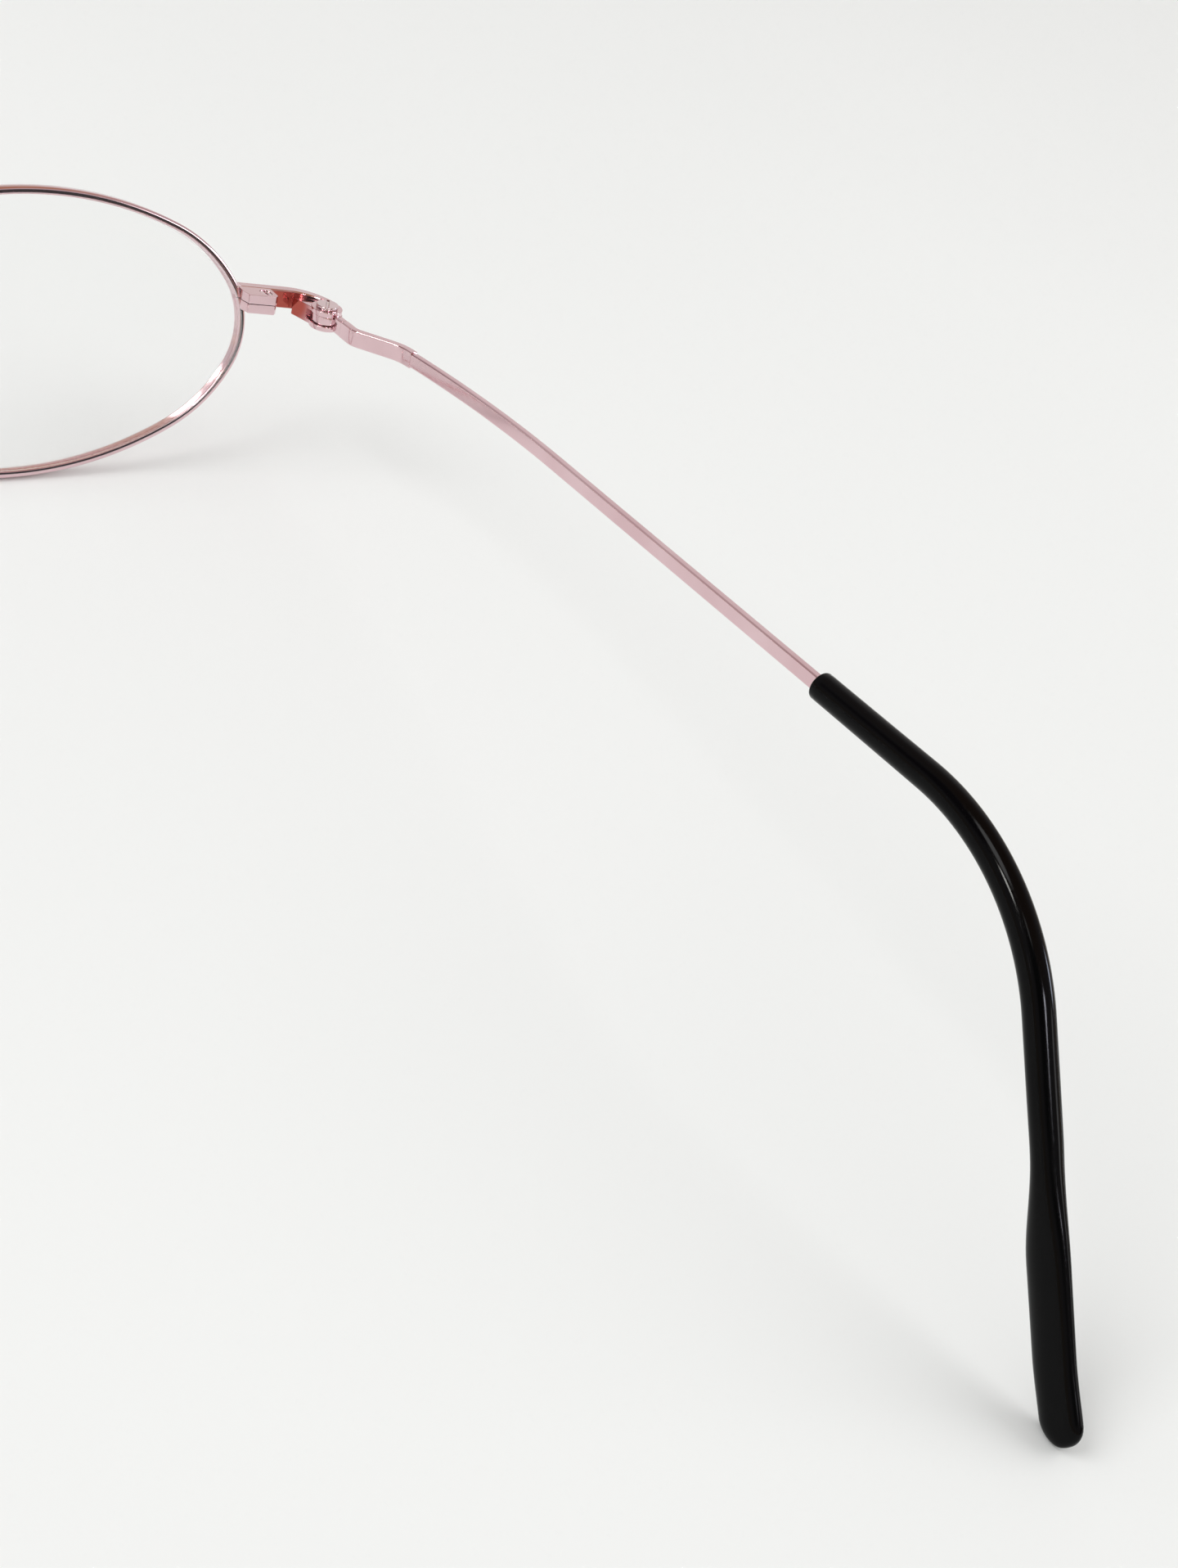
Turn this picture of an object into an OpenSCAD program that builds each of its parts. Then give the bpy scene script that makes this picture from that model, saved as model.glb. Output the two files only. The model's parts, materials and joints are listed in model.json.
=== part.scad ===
// Oval metal eyeglasses, life size, standing open on a table on the rims and the ear tips.
// X points to the wearer's left, Y to the back, Z up. The left half is modelled and the right half mirrored.

/* [Lenses and rims] */
// Width of each lens over its bevel
lens_w = 46.6; // [42:0.2:52]
// Height of each lens over its bevel
lens_h = 26.6; // [23:0.2:32]
// Distance between the two lenses at the nose
lens_gap = 20; // [17:0.5:24]
// Radius of the oval at its four shoulders
shoulder_r = 15; // [13:0.5:17]
// Thickness of a lens in its middle
lens_t = 1.7; // [1.4:0.1:2.2]
// Radius of the front of a lens
lens_front_r = 350; // [250:10:500]
// Radius of the hollow back of a lens
lens_back_r = 330; // [240:10:480]
// Depth of the groove in the rim that holds the bevel
groove_d = 0.3; // [0.2:0.05:0.35]
// Width of the groove at its mouth
groove_w = 0.8; // [0.6:0.05:0.9]
// Thickness of the rim wire, seen from the front
rim_t = 0.7; // [0.6:0.05:1]
// Depth of the rim wire from front to back
rim_d = 1.2; // [1.1:0.05:1.6]
// Lean of the rims against the temples
rim_lean = 10; // [6:0.5:14]
// Turn of each rim round the face
rim_wrap = 4; // [2:0.5:7]

/* [Bridge and nose pads] */
// Height of the bridge bar
bridge_h = 1.9; // [1.4:0.1:2.6]
// Depth of the bridge bar from front to back
bridge_d = 1.3; // [1:0.1:1.8]
// Height of the bridge's ends over the middle of the rims
bridge_up = 4.4; // [3:0.2:6]
// Rise of the bridge's arch over its ends
bridge_rise = 2.6; // [1.8:0.2:4]
// Diameter of the pad arm wire
arm_wire = 1.0; // [0.8:0.05:1.2]
// Half the distance between the middles of the two pads
pad_apart = 6.9; // [6.5:0.1:7.5]
// How far the pads lie behind the front
pad_behind = 6.8; // [6.6:0.1:7.4]
// How far the pads lie below the middle of the rims
pad_below = 5.8; // [5.6:0.1:6.6]
// Angle by which a pad arm swings outwards before it turns in
arm_swing = 30; // [22:1:36]
// Radius of that first bend
arm_out_r = 1.8; // [1.4:0.1:2.2]
// Length of a nose pad
pad_l = 11.5; // [10:0.5:12]
// Width of a nose pad
pad_w = 6.4; // [5:0.2:7]
// Thickness of a nose pad
pad_t = 2.2; // [1.8:0.1:2.6]
// Lean of the pads, with the lower ends further apart
pad_lean = 22; // [16:1:26]
// Turn of the pads, with the back edges further apart
pad_turn = 24; // [18:1:30]

/* [End pieces] */
// From the rim's outside to the hinge pin
end_reach = 7.6; // [7.4:0.1:9]
// How far the hinge pin lies behind the rim's outer side
end_back = 2.75; // [2.6:0.05:3.3]
// Height of the hinge over the middle of the rims
hinge_up = 1.7; // [1:0.1:3]
// Thickness of the end piece strip
strip_t = 1.1; // [0.9:0.05:1.2]
// Height of the end piece strip
strip_h = 1.9; // [1.8:0.1:2.6]
// Outer radius of the strip's bend
strip_r = 4.4; // [4:0.1:4.8]
// How far the strip's face stands in front of the rim's middle
strip_front = 1.7; // [1.5:0.05:1.9]
// Slope of the end piece, down from the rim to the hinge
strip_slope = 6.8; // [0:0.2:8]
// How far outside the hinge pin the sloping strip's middle would be level with the hinge
strip_level = 2.35; // [1.5:0.05:3]
// Length of the closing block behind the strip
block_l = 2.8; // [2.7:0.1:3.6]
// Height of both halves of the closing block
block_h = 1.9; // [1.8:0.1:2.6]
// How far the block stands behind the middle of the rim
block_back = 1.45; // [1.2:0.05:1.7]
// Gap between the two halves, which the screw draws together
split_gap = 0.06; // [0.04:0.02:0.16]
// Shank diameter of the closing screw
close_d = 0.8; // [0.6:0.05:0.9]
// Head diameter of the closing screw
close_head = 1.2; // [1.1:0.05:1.3]

/* [Hinges] */
// Diameter of the hinge knuckles on the front
lug_d = 3.1; // [2.9:0.05:3.4]
// Height of the hinge
lug_h = 2; // [1.9:0.1:2.8]
// Height of the middle knuckle
knuckle_h = 0.9; // [0.8:0.05:1.1]
// Shank diameter of the hinge screw
pin_d = 1.1; // [0.9:0.05:1.3]
// Head diameter of the hinge screw
pin_head_d = 2.2; // [1.7:0.05:2.4]
// Height of the head of the hinge screw
pin_head_h = 0.35; // [0.25:0.05:0.6]
// Width of the screw slots
slot_w = 0.28; // [0.2:0.02:0.35]
// From the hinge pin to the temple's square shoulder
foot_at = 1.75; // [1.7:0.05:2]
// Length of the shoulder, from its face to the solder joint with the plate
foot_l = 1.25; // [0.8:0.05:1.6]

/* [Temples] */
// Length of a temple from the hinge pin to the end of the tip
temple_l = 141; // [130:0.5:150]
// Length of a temple from the hinge pin to the ear bend
bend_at = 86; // [80:0.5:95]
// Length of the tip sleeve
sleeve_l = 68.5; // [64:0.5:76]
// Height of the front plate
plate_h = 1.65; // [1.5:0.05:2.2]
// Thickness of the front plate
plate_t = 0.85; // [0.7:0.05:1]
// How far the plate's middle lies outside the hinge pin
plate_out = 0.25; // [0.1:0.05:0.4]
// Straight stretch of the plate before its outward bend
plate_lead = 1.3; // [0.9:0.1:2]
// Angle of the plate's outward slant
plate_slant_deg = 37; // [30:1:42]
// Length of the slant
plate_slant = 3.5; // [3:0.1:4.6]
// Radius of the outward bend
plate_out_r = 1.6; // [1.2:0.1:2.2]
// Radius of the bend back
plate_back_r = 4; // [3:0.1:6]
// Length of the plate behind the bend back
plate_tail = 0.6; // [0.5:0.1:3]
// Heading of the temple behind the plate, outwards
flare_deg = 9; // [6:0.5:10]
// Radius of the temple's long bow
bow_r = 113; // [90:1:130]
// Toe-in of the straight temple bar
toe_in = 2.5; // [1.5:0.1:3.5]
// Height of the temple bar
bar_h = 1.4; // [1.2:0.05:1.7]
// Thickness of the temple bar
bar_t = 0.78; // [0.7:0.02:0.9]

/* [Ear tips] */
// Angle of the ear bend
bend_deg = 56; // [45:1:62]
// Radius of the ear bend
bend_r = 22.3; // [18:0.1:26]
// Lean of the bend inwards, towards the head
bend_lean = 5.5; // [2:0.5:8]
// Diameter of the sleeve at its mouth
sleeve_d = 2.55; // [2.4:0.05:2.8]
// Width of the paddle at the end of the tip
paddle_w = 4.1; // [3.4:0.1:4.8]
// Thickness of the paddle
paddle_t = 1.9; // [1.8:0.1:2.4]
// Length of the paddle
paddle_l = 18; // [15:0.5:21]
// Height of the wire core inside the sleeve
core_h = 0.9; // [0.7:0.05:1]
// Thickness of the wire core inside the sleeve
core_t = 0.66; // [0.5:0.02:0.7]

/* [Fits] */
// Clearance round a screw or pin that something turns on
run_fit = 0.04; // [0.02:0.01:0.08]
// Clearance of pieces that are pushed or screwed together
push_fit = 0.03; // [0.02:0.01:0.05]
// Clearance between knuckles that turn on each other
turn_gap = 0.05; // [0.03:0.01:0.1]

/* [Hidden] */
$fn = 96;

metal = [0.86, 0.72, 0.73];
screw_metal = [0.80, 0.76, 0.76];
clear_lens = [0.90, 0.95, 0.96, 0.5];
clear_pad = [0.93, 0.93, 0.90, 0.8];
black_tip = [0.06, 0.06, 0.07];

// Small chamfer on the edges of the metal pieces
edge = 0.12;
// Overlap that joins and cuts cleanly
eps = 0.01;
// Reach of a cut that goes right through a piece and clear of it
through = 20;

// Semi-axes of the rim wire's middle line
oval_a = lens_w / 2 + push_fit - groove_d + rim_t / 2;
oval_b = lens_h / 2 + push_fit - groove_d + rim_t / 2;
// The oval has arcs of three radii a quarter, which meet at these angles from its long axis
end_deg = 32;
flat_deg = 64;
// Step in facing direction from one ring of the oval to the next
oval_step = 4;

// Radii and centres of the three arcs, from the two semi-axes and the shoulder radius
k1 = -oval_a + shoulder_r * (cos(end_deg) - cos(flat_deg));
k2 = oval_b + shoulder_r * (sin(end_deg) - sin(flat_deg));
det = (cos(end_deg) - 1) * (1 - sin(flat_deg)) + cos(flat_deg) * sin(end_deg);
end_r = (k1 * (1 - sin(flat_deg)) + cos(flat_deg) * k2) / det;
flat_r = ((cos(end_deg) - 1) * k2 - sin(end_deg) * k1) / det;
end_c = [oval_a - end_r, 0];
shoulder_c = end_c + (end_r - shoulder_r) * [cos(end_deg), sin(end_deg)];
flat_c = [0, oval_b - flat_r];

// Places in the wearing position: origin midway between the rims, at their middle
rim_x = lens_gap / 2 + lens_w / 2;
rim_outside = oval_a + rim_t / 2;
hinge_x = rim_x + rim_outside + end_reach;
hinge_y = end_back + rim_outside * tan(rim_wrap);
hinge_z = hinge_up;
lug_r = lug_d / 2;
// The strip's bend ends just outside the lug
strip_proud = 0.15;
bend_c_x = hinge_x + lug_r + strip_proud - strip_r;
bend_c_v = strip_r - strip_front;
bend_c_u = (bend_c_x - rim_x + bend_c_v * sin(rim_wrap)) / cos(rim_wrap);
bend_c_y = bend_c_u * sin(rim_wrap) + bend_c_v * cos(rim_wrap);
// The toe of the middle knuckle meets the strip's end here when the temple is open
stop_front = 0.6;
knuckle_r = lug_r - 0.2;
toe_r = lug_r + 0.07;
// The closing screw's place in the block's own frame
close_x = rim_outside + 1.75;
close_y = 0.45;
close_head_h = 0.4;
// The closing screw's head lies this far below the block's top, and its slot is this deep
close_sunk = 0.05;
close_slot = 0.2;
// The strip keeps this clear of the rim and of the lower block
strip_off = 0.05;
// The strip and the block start this far inside the rim's widest point, where the rim curves away from them
strip_in = 0.4;
block_in = 0.85;
// The block's back near the rim, as distances outwards from its start and forwards from its back
block_slope = [[0.35, 0], [0, 0.75]];
// Chamfer of the block's outer corner
block_corner = 0.4;

// Stretches of the temple in plan, each as length, turn and radius
plate_path = [
    [plate_lead, 0, 0], [0, plate_slant_deg, plate_out_r], [plate_slant, 0, 0],
    [0, flare_deg - plate_slant_deg, plate_back_r], [0, -deg_of(plate_tail, bow_r), bow_r]
];
bow_left = flare_deg + toe_in - deg_of(plate_tail, bow_r);
plate_l = foot_at + foot_l + path_length(plate_path);
mouth_at = temple_l - sleeve_l;
bar_path = [[0, -bow_left, bow_r], [mouth_at - plate_l - arc_l(bow_left, bow_r), 0, 0]];
neck_l = bend_at - mouth_at;
tail_l = temple_l - bend_at - arc_l(bend_deg, bend_r);
plate_start = [hinge_x + plate_out, hinge_y + foot_at + foot_l, 0];
bar_start = follow(plate_start, plate_path);
mouth = follow(bar_start, bar_path);
// The core ends this far before the end of the tip
core_stop = 13;

function deg_of(length, r) = length / r * 180 / PI;
function arc_l(deg, r) = abs(deg) * PI / 180 * r;
function piece_length(s) = s[1] == 0 ? s[0] : arc_l(s[1], s[2]);
function path_length(path, i = 0) = i == len(path) ? 0 : piece_length(path[i]) + path_length(path, i + 1);
// The place and heading at the far end of one stretch; headings run from +Y towards +X
function step_along(p, s) = s[1] == 0
    ? [p[0] + s[0] * sin(p[2]), p[1] + s[0] * cos(p[2]), p[2]]
    : let (k = s[2] * sign(s[1]), h = p[2] + s[1])
      [p[0] + k * (cos(p[2]) - cos(h)), p[1] + k * (sin(h) - sin(p[2])), h];
function follow(p, path, i = 0) = i == len(path) ? p : follow(step_along(p, path[i]), path, i + 1);

// The tip's middle line from the sleeve mouth, in the plane of the ear bend: run, drop and slope at a length
function tip_line(s) = s <= neck_l ? [s, 0, 0]
    : s <= neck_l + arc_l(bend_deg, bend_r)
        ? let (a = deg_of(s - neck_l, bend_r)) [neck_l + bend_r * sin(a), bend_r * (1 - cos(a)), a]
        : let (r = s - neck_l - arc_l(bend_deg, bend_r))
          [neck_l + bend_r * sin(bend_deg) + r * cos(bend_deg),
           bend_r * (1 - cos(bend_deg)) + r * sin(bend_deg), bend_deg];
// A smooth change from 0 to 1 between two lengths
function ease(s, from, to) = let (t = max(0, min(1, (s - from) / (to - from)))) t * t * (3 - 2 * t);
// Half width, half thickness and upward shift of the sleeve at a length from its mouth
paddle_from = sleeve_l - paddle_l;
// The sleeve grows by this much on each side between its mouth and the ear bend
sleeve_swell = 0.08;
// The paddle bulges upwards by this much where it starts
paddle_lift = 0.35;
function swell(s) = ease(s, paddle_from - 4.5, paddle_from + 4);
function close_off(s) = sqrt(max(0.0, 1 - pow(max(0, (s - (sleeve_l - paddle_w / 2)) / (paddle_w / 2)), 2)));
function half_w(s) = (sleeve_d / 2 + ease(s, 0, 2 * neck_l) * sleeve_swell
    + swell(s) * (paddle_w / 2 - sleeve_d / 2 - sleeve_swell)) * max(close_off(s), 0.12);
function half_t(s) = (sleeve_d / 2 - ease(s, paddle_from - 10, paddle_from + 12) * (sleeve_d - paddle_t) / 2)
    * max(pow(close_off(s), 0.5), 0.3);
function shift_up(s) = paddle_lift * ease(s, paddle_from - 4, paddle_from + 2)
    * (1 - ease(s, paddle_from + 3, sleeve_l - 3));

// A section's points, as distances outwards and upwards, set square to the tip's middle line
function across_tip(s, shape) = let (m = tip_line(s))
    [for (q = shape) [q[0], m[0] + q[1] * sin(m[2]), -m[1] + q[1] * cos(m[2])]];
// One ring of the sleeve: an ellipse of the given half width and half thickness
ring_n = 20;
function ring(s, w, t, up) = across_tip(s,
    [for (i = [0:ring_n - 1]) let (a = 360 * i / ring_n) [t * cos(a), w * sin(a) + up]]);
// Lengths from the mouth at which the sleeve, its bore and its core have a ring
bend_steps = 11;
bend_at_steps = [for (i = [0:bend_steps]) neck_l + arc_l(bend_deg, bend_r) * i / bend_steps];
outer_at = concat([0, 0.15, neck_l / 3, neck_l * 2 / 3], bend_at_steps,
    [for (s = [sleeve_l - tail_l + 3:2:sleeve_l - 3]) s],
    [sleeve_l - 1.6, sleeve_l - 1, sleeve_l - 0.5, sleeve_l - 0.2, sleeve_l]);
// The bore ends this far behind the core
bore_spare = 0.4;
bore_at = concat([0], bend_at_steps, [sleeve_l - core_stop + bore_spare]);
bore_r = (sqrt(core_h * core_h + core_t * core_t) / 2 + push_fit) / cos(180 / ring_n);
function outer_ring(s) = let (r = s == 0 ? 0.9 : 1) ring(s, half_w(s) * r, half_t(s) * r, shift_up(s));

// Sleeve points turned into the wearing position, and from there into the standing one
function lean_in(p) = [p[0] * cos(bend_lean) + p[2] * sin(bend_lean), p[1],
    p[2] * cos(bend_lean) - p[0] * sin(bend_lean)];
function to_wear(p) = let (q = lean_in(p), h = mouth[2])
    [mouth[0] + q[0] * cos(h) + q[1] * sin(h), mouth[1] - q[0] * sin(h) + q[1] * cos(h), hinge_z + q[2]];
tip_points = [for (s = outer_at) each [for (p = outer_ring(s)) to_wear(p)]];
function tip_low(tilt) = min([for (p = tip_points) p[1] * sin(tilt) + p[2] * cos(tilt)]);
function rim_low(tilt) = let (lean = tilt + rim_lean)
    -(oval_b + rim_t / 2) * cos(lean) - (rim_d / 2 - edge) * sin(lean);
// The tilt at which both the rims and the tips touch the table
function level(lo, hi, n) = let (mid = (lo + hi) / 2) n == 0 ? mid
    : tip_low(mid) < rim_low(mid) ? level(mid, hi, n - 1) : level(lo, mid, n - 1);
tilt = level(0, 30, 30);
low_z = rim_low(tilt);
total_lean = tilt + rim_lean;
front_y = -sqrt(pow(oval_a * sin(rim_wrap), 2) + pow((oval_b + rim_t / 2) * sin(total_lean), 2))
    - rim_d / 2 * cos(total_lean);
back_y = max([for (p = tip_points) p[1] * cos(tilt) - p[2] * sin(tilt)]);
mid_y = (front_y + back_y) / 2;

module stand() {
    translate([0, -mid_y, -low_z]) rotate([tilt, 0, 0]) children();
}

module on_front() {
    rotate([rim_lean, 0, 0]) children();
}

module at_rim() {
    on_front() translate([rim_x, 0, 0]) rotate([0, 0, rim_wrap]) children();
}

// Slopes what stands level with the hinge down from the rim, with its plan kept
module sloped() {
    fall = tan(strip_slope);
    multmatrix([[1, 0, 0, 0], [0, 1, 0, 0], [-fall, 0, 1, fall * (hinge_x + strip_level)], [0, 0, 0, 1]])
        children();
}

// The strip's and the closing block's frame: turned round the face as the rim is, and sloped
module at_block() {
    sloped() translate([rim_x, 0, hinge_z]) rotate([0, 0, rim_wrap]) children();
}

module at_hinge() {
    translate([hinge_x, hinge_y, hinge_z]) children();
}

// A strip's section with small chamfers: t across, h high
function section_points(t, h, c = edge) = [
    [-t / 2 + c, -h / 2], [-t / 2, -h / 2 + c], [-t / 2, h / 2 - c], [-t / 2 + c, h / 2],
    [t / 2 - c, h / 2], [t / 2, h / 2 - c], [t / 2, -h / 2 + c], [t / 2 - c, -h / 2]
];

module section(t, h, c = edge) {
    polygon(section_points(t, h, c));
}

// The oval's arc that faces a given direction, as centre and radius; the arcs meet tangentially
function arc_at(a) = let (f = abs(a > 180 ? 360 - a : a), q = f > 90 ? 180 - f : f,
        c = q <= end_deg ? end_c : q <= flat_deg ? shoulder_c : flat_c,
        r = q <= end_deg ? end_r : q <= flat_deg ? shoulder_r : flat_r)
    [c[0] * (f > 90 ? -1 : 1), c[1] * (a > 180 ? -1 : 1), r];
// The point of the oval that faces a given direction, a distance outside the wire's middle line
function oval_at(a, out) = let (c = arc_at(a)) [c[0] + (c[2] + out) * cos(a), c[1] + (c[2] + out) * sin(a)];
function oval_points(out) = [for (a = [0:oval_step:359.9]) oval_at(a, out)];

// The rim wire's section with its bevel groove on the inside, as distances outwards and to the back
rim_section = [
    [-rim_t / 2 + edge, rim_d / 2], [-rim_t / 2, rim_d / 2 - edge], [-rim_t / 2, groove_w / 2],
    [-rim_t / 2 + groove_d, 0], [-rim_t / 2, -groove_w / 2], [-rim_t / 2, -rim_d / 2 + edge],
    [-rim_t / 2 + edge, -rim_d / 2], [rim_t / 2 - edge, -rim_d / 2], [rim_t / 2, -rim_d / 2 + edge],
    [rim_t / 2, rim_d / 2 - edge], [rim_t / 2 - edge, rim_d / 2]
];
function ring_on_oval(a, shape) = [for (q = shape) let (p = oval_at(a, q[0])) [p[0], q[1], p[1]]];

// A closed skin over rings of points, open-ended with flat caps, or joined up into a loop
module skin(rings, loop = false) {
    n = len(rings[0]);
    m = len(rings);
    last = loop ? m - 1 : m - 2;
    sides = [for (j = [0:last], i = [0:n - 1])
        let (k = (i + 1) % n, here = j * n, next = ((j + 1) % m) * n)
            each [[here + i, here + k, next + k], [here + i, next + k, next + i]]];
    caps = loop ? [] : [[for (i = [n - 1:-1:0]) i], [for (i = [0:n - 1]) (m - 1) * n + i]];
    polyhedron([for (r = rings) each r], concat(sides, caps), convexity = 8);
}

module rim_solid() {
    skin([for (a = [0:oval_step:359.9]) ring_on_oval(a, rim_section)], loop = true);
}

// The space inside the rim's outer edge, over its depth, for what is cut to meet it
module rim_space(grown = 0) {
    rotate([90, 0, 0]) linear_extrude(rim_d + 2 * grown, center = true)
        polygon(oval_points(rim_t / 2 + grown));
}

module rim() {
    color(metal) difference() {
        at_rim() rim_solid();
        at_block() translate([rim_outside - 3 * rim_t, -2 * rim_d, -split_gap / 2])
            cube([4 * rim_t, 4 * rim_d, split_gap]);
    }
}

// The front of the lens's middle stands this far forward of the bevel
lens_front = lens_t / 2 + 0.3;
bevel_in = -rim_t / 2 - push_fit;
bevel_tip = bevel_in + groove_d - push_fit;
bevel_w = groove_w / 2 - 2 * push_fit;
// How far towards the back a lens face of the given radius lies at a point
function face_y(r, x, z, y0) = y0 + r - sqrt(r * r - x * x - z * z);
// Share of the oval at each ring of a lens face, from its flat middle to its edge
face_shares = [0.08, 0.4, 0.7, 1];
function face_ring(share, r, y0) = [for (p = oval_points(bevel_in))
    let (x = p[0] * share, z = p[1] * share, flat = share == face_shares[0])
        [x, flat ? face_y(r, share * oval_a, 0, y0) : face_y(r, x, z, y0), z]];
function edge_ring(out, y) = [for (p = oval_points(out)) [p[0], y, p[1]]];

module lens() {
    n = len(face_shares);
    color(clear_lens) at_rim() skin(concat(
        [for (i = [0:n - 1]) face_ring(face_shares[i], lens_front_r, -lens_front)],
        [edge_ring(bevel_in, -bevel_w), edge_ring(bevel_tip, 0), edge_ring(bevel_in, bevel_w)],
        [for (i = [n - 1:-1:0]) face_ring(face_shares[i], lens_back_r, lens_t - lens_front)]));
}

// Chamfer of the bridge bar's edges, and how far its ends reach into the rim before they are cut to it
bridge_edge = 0.25;
bridge_sunk = 0.3;

module bridge() {
    end_x = rim_x - sqrt(1 - pow(bridge_up / oval_b, 2)) * oval_a + bridge_sunk;
    arch_r = (end_x * end_x + bridge_rise * bridge_rise) / (2 * bridge_rise);
    half_deg = asin(end_x / arch_r);
    color(metal) on_front() difference() {
        translate([0, -oval_a * sin(rim_wrap), bridge_up + bridge_rise - arch_r]) rotate([90, 0, 0])
            rotate([0, 0, 90 - half_deg]) rotate_extrude(angle = 2 * half_deg)
                translate([arch_r, 0]) section(bridge_h, bridge_d, bridge_edge);
        for (m = [0, 1])
            mirror([m, 0, 0]) translate([rim_x, 0, 0]) rotate([0, 0, rim_wrap]) rim_space();
    }
}

// The nose pad's own frame: X away from the nose, Y back along the pad's face, Z up its length
pad_c = [pad_apart, pad_behind, -pad_below];
module at_pad() {
    translate(pad_c) rotate([0, -pad_lean, 0]) rotate([0, 0, -pad_turn]) children();
}
// A point along the pad frame's X, in the wearing position
function off_pad(x) = pad_c
    + x * [cos(pad_turn) * cos(pad_lean), -sin(pad_turn), cos(pad_turn) * sin(pad_lean)];

// Fullness of a pad's rounded edge, and width of its flat faces as a share of its width
pad_full = 0.9;
pad_flat = 0.55;
// Pad box and tab sizes
tab_w = 1.2;
tab_h = 1.7;
tab_end_gap = 0.1;
box_wall = 0.45;
box_h = 2.4;
box_base = 0.5;
pad_screw_d = 0.7;
pad_screw_head = 1.2;
pad_head_h = 0.3;
pad_slot = 0.15;
pad_back = pad_t / 2;
// The pad's screw and the mouth of its box lie this far off the pad
pad_axis_x = pad_back + 0.9;
box_from = pad_back + 0.35;
box_to = pad_axis_x + tab_h / 2 + tab_end_gap + box_base;
box_w = tab_w + 2 * turn_gap + 2 * box_wall;

module nose_pad() {
    color(clear_pad) at_pad() difference() {
        union() {
            hull() {
                for (z = [-1, 1])
                    translate([0, 0, z * (pad_l - pad_w) / 2]) {
                        scale([pad_t / pad_w * pad_full, 1, 1]) sphere(d = pad_w, $fn = 32);
                        translate([-pad_t / 2, 0, 0]) rotate([0, 90, 0])
                            cylinder(d = pad_w * pad_flat, h = pad_t, $fn = 32);
                    }
            }
            translate([0, -tab_w / 2, -tab_h / 2]) cube([pad_axis_x, tab_w, tab_h]);
            translate([pad_axis_x, tab_w / 2, 0]) rotate([90, 0, 0]) cylinder(d = tab_h, h = tab_w);
        }
        translate([pad_axis_x, box_w, 0]) rotate([90, 0, 0])
            cylinder(d = pad_screw_d + 2 * run_fit, h = 2 * box_w);
    }
}

module pad_box() {
    color(metal) at_pad() difference() {
        translate([box_from, -box_w / 2, -box_h / 2]) cube([box_to - box_from, box_w, box_h]);
        translate([box_to - box_base - through, -tab_w / 2 - turn_gap, -box_h])
            cube([through, tab_w + 2 * turn_gap, 2 * box_h]);
        translate([pad_axis_x, box_w, 0]) rotate([90, 0, 0])
            cylinder(d = pad_screw_d + 2 * push_fit, h = 2 * box_w);
    }
}

module pad_screw() {
    color(screw_metal) at_pad() translate([pad_axis_x, box_w / 2, 0]) rotate([90, 0, 0]) {
        cylinder(d = pad_screw_d, h = box_w);
        difference() {
            translate([0, 0, -pad_head_h]) cylinder(d = pad_screw_head, h = pad_head_h);
            translate([-slot_w / 2, -pad_screw_head, -pad_head_h - eps])
                cube([slot_w, 2 * pad_screw_head, pad_slot + eps]);
        }
    }
}

// The pad arm: a round wire that leaves the rim to the back, swings out and comes in to the pad box, level
arm_end = off_pad(box_to);
arm_in_deg = atan2(-cos(pad_turn) * cos(pad_lean), sin(pad_turn));
// The wire stands this far over to the nose side on the rim, clear of the lens
arm_aside = 0.3;
arm_last = 0.5;
arm_sunk = 0.45;
arm_rim_z = (arm_end[2] + oval_a * sin(rim_wrap) * sin(rim_lean)) / cos(rim_lean);
arm_rim_x = -oval_a * sqrt(1 - pow(arm_rim_z / oval_b, 2));
arm_from = [rim_x + arm_rim_x * cos(rim_wrap) - arm_aside,
    arm_rim_x * sin(rim_wrap) * cos(rim_lean) - arm_rim_z * sin(rim_lean), 0];
arm_in_r = (arm_from[0] - arm_end[0] + arm_out_r * (1 - cos(arm_swing)) + arm_last * sin(arm_in_deg))
    / (cos(arm_swing) - cos(arm_in_deg));
arm_lead = arm_end[1] - arm_from[1] - arm_out_r * sin(arm_swing)
    + arm_in_r * (sin(arm_in_deg) - sin(arm_swing)) - arm_last * cos(arm_in_deg);
arm_path = [[arm_lead, 0, 0], [0, arm_swing, arm_out_r], [0, arm_in_deg - arm_swing, arm_in_r],
    [arm_last + arm_sunk, 0, 0]];

// Places and headings along a path in plan, at each end of a straight and every few degrees of a bend
function places(p, path, i = 0) = i == len(path) ? [p]
    : let (s = path[i], n = s[1] == 0 ? 1 : ceil(abs(s[1]) / 6))
      concat([for (j = [0:n - 1]) step_along(p, s[1] == 0 ? [0, 0, 0] : [0, s[1] * j / n, s[2]])],
          places(step_along(p, s), path, i + 1));
function ring_at(p, shape) = [for (q = shape) [p[0] + q[0] * cos(p[2]), p[1] - q[0] * sin(p[2]), q[1]]];
function round_section(d, n = 14) = [for (i = [0:n - 1]) d / 2 * [cos(360 * i / n), -sin(360 * i / n)]];

module pad_arm() {
    color(metal) difference() {
        translate([0, 0, arm_end[2]])
            skin([for (p = places(arm_from, arm_path)) ring_at(p, round_section(arm_wire))]);
        at_rim() rim_space();
        at_pad() translate([box_from, -box_w / 2, -box_h / 2]) cube([box_to - box_from, box_w, box_h]);
    }
}

// The end piece strip, or its plan at another height
module strip_form(h = strip_h) {
    start = rim_outside - strip_in;
    at_block() translate([start, -strip_front + strip_t / 2, 0]) rotate([90, 0, 90])
        linear_extrude(bend_c_u - start + eps) section(strip_t, h);
    sloped() translate([bend_c_x, bend_c_y, hinge_z]) rotate([0, 0, rim_wrap - 90])
        rotate_extrude(angle = 90 - rim_wrap) translate([strip_r - strip_t / 2, 0]) section(strip_t, h);
}

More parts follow.
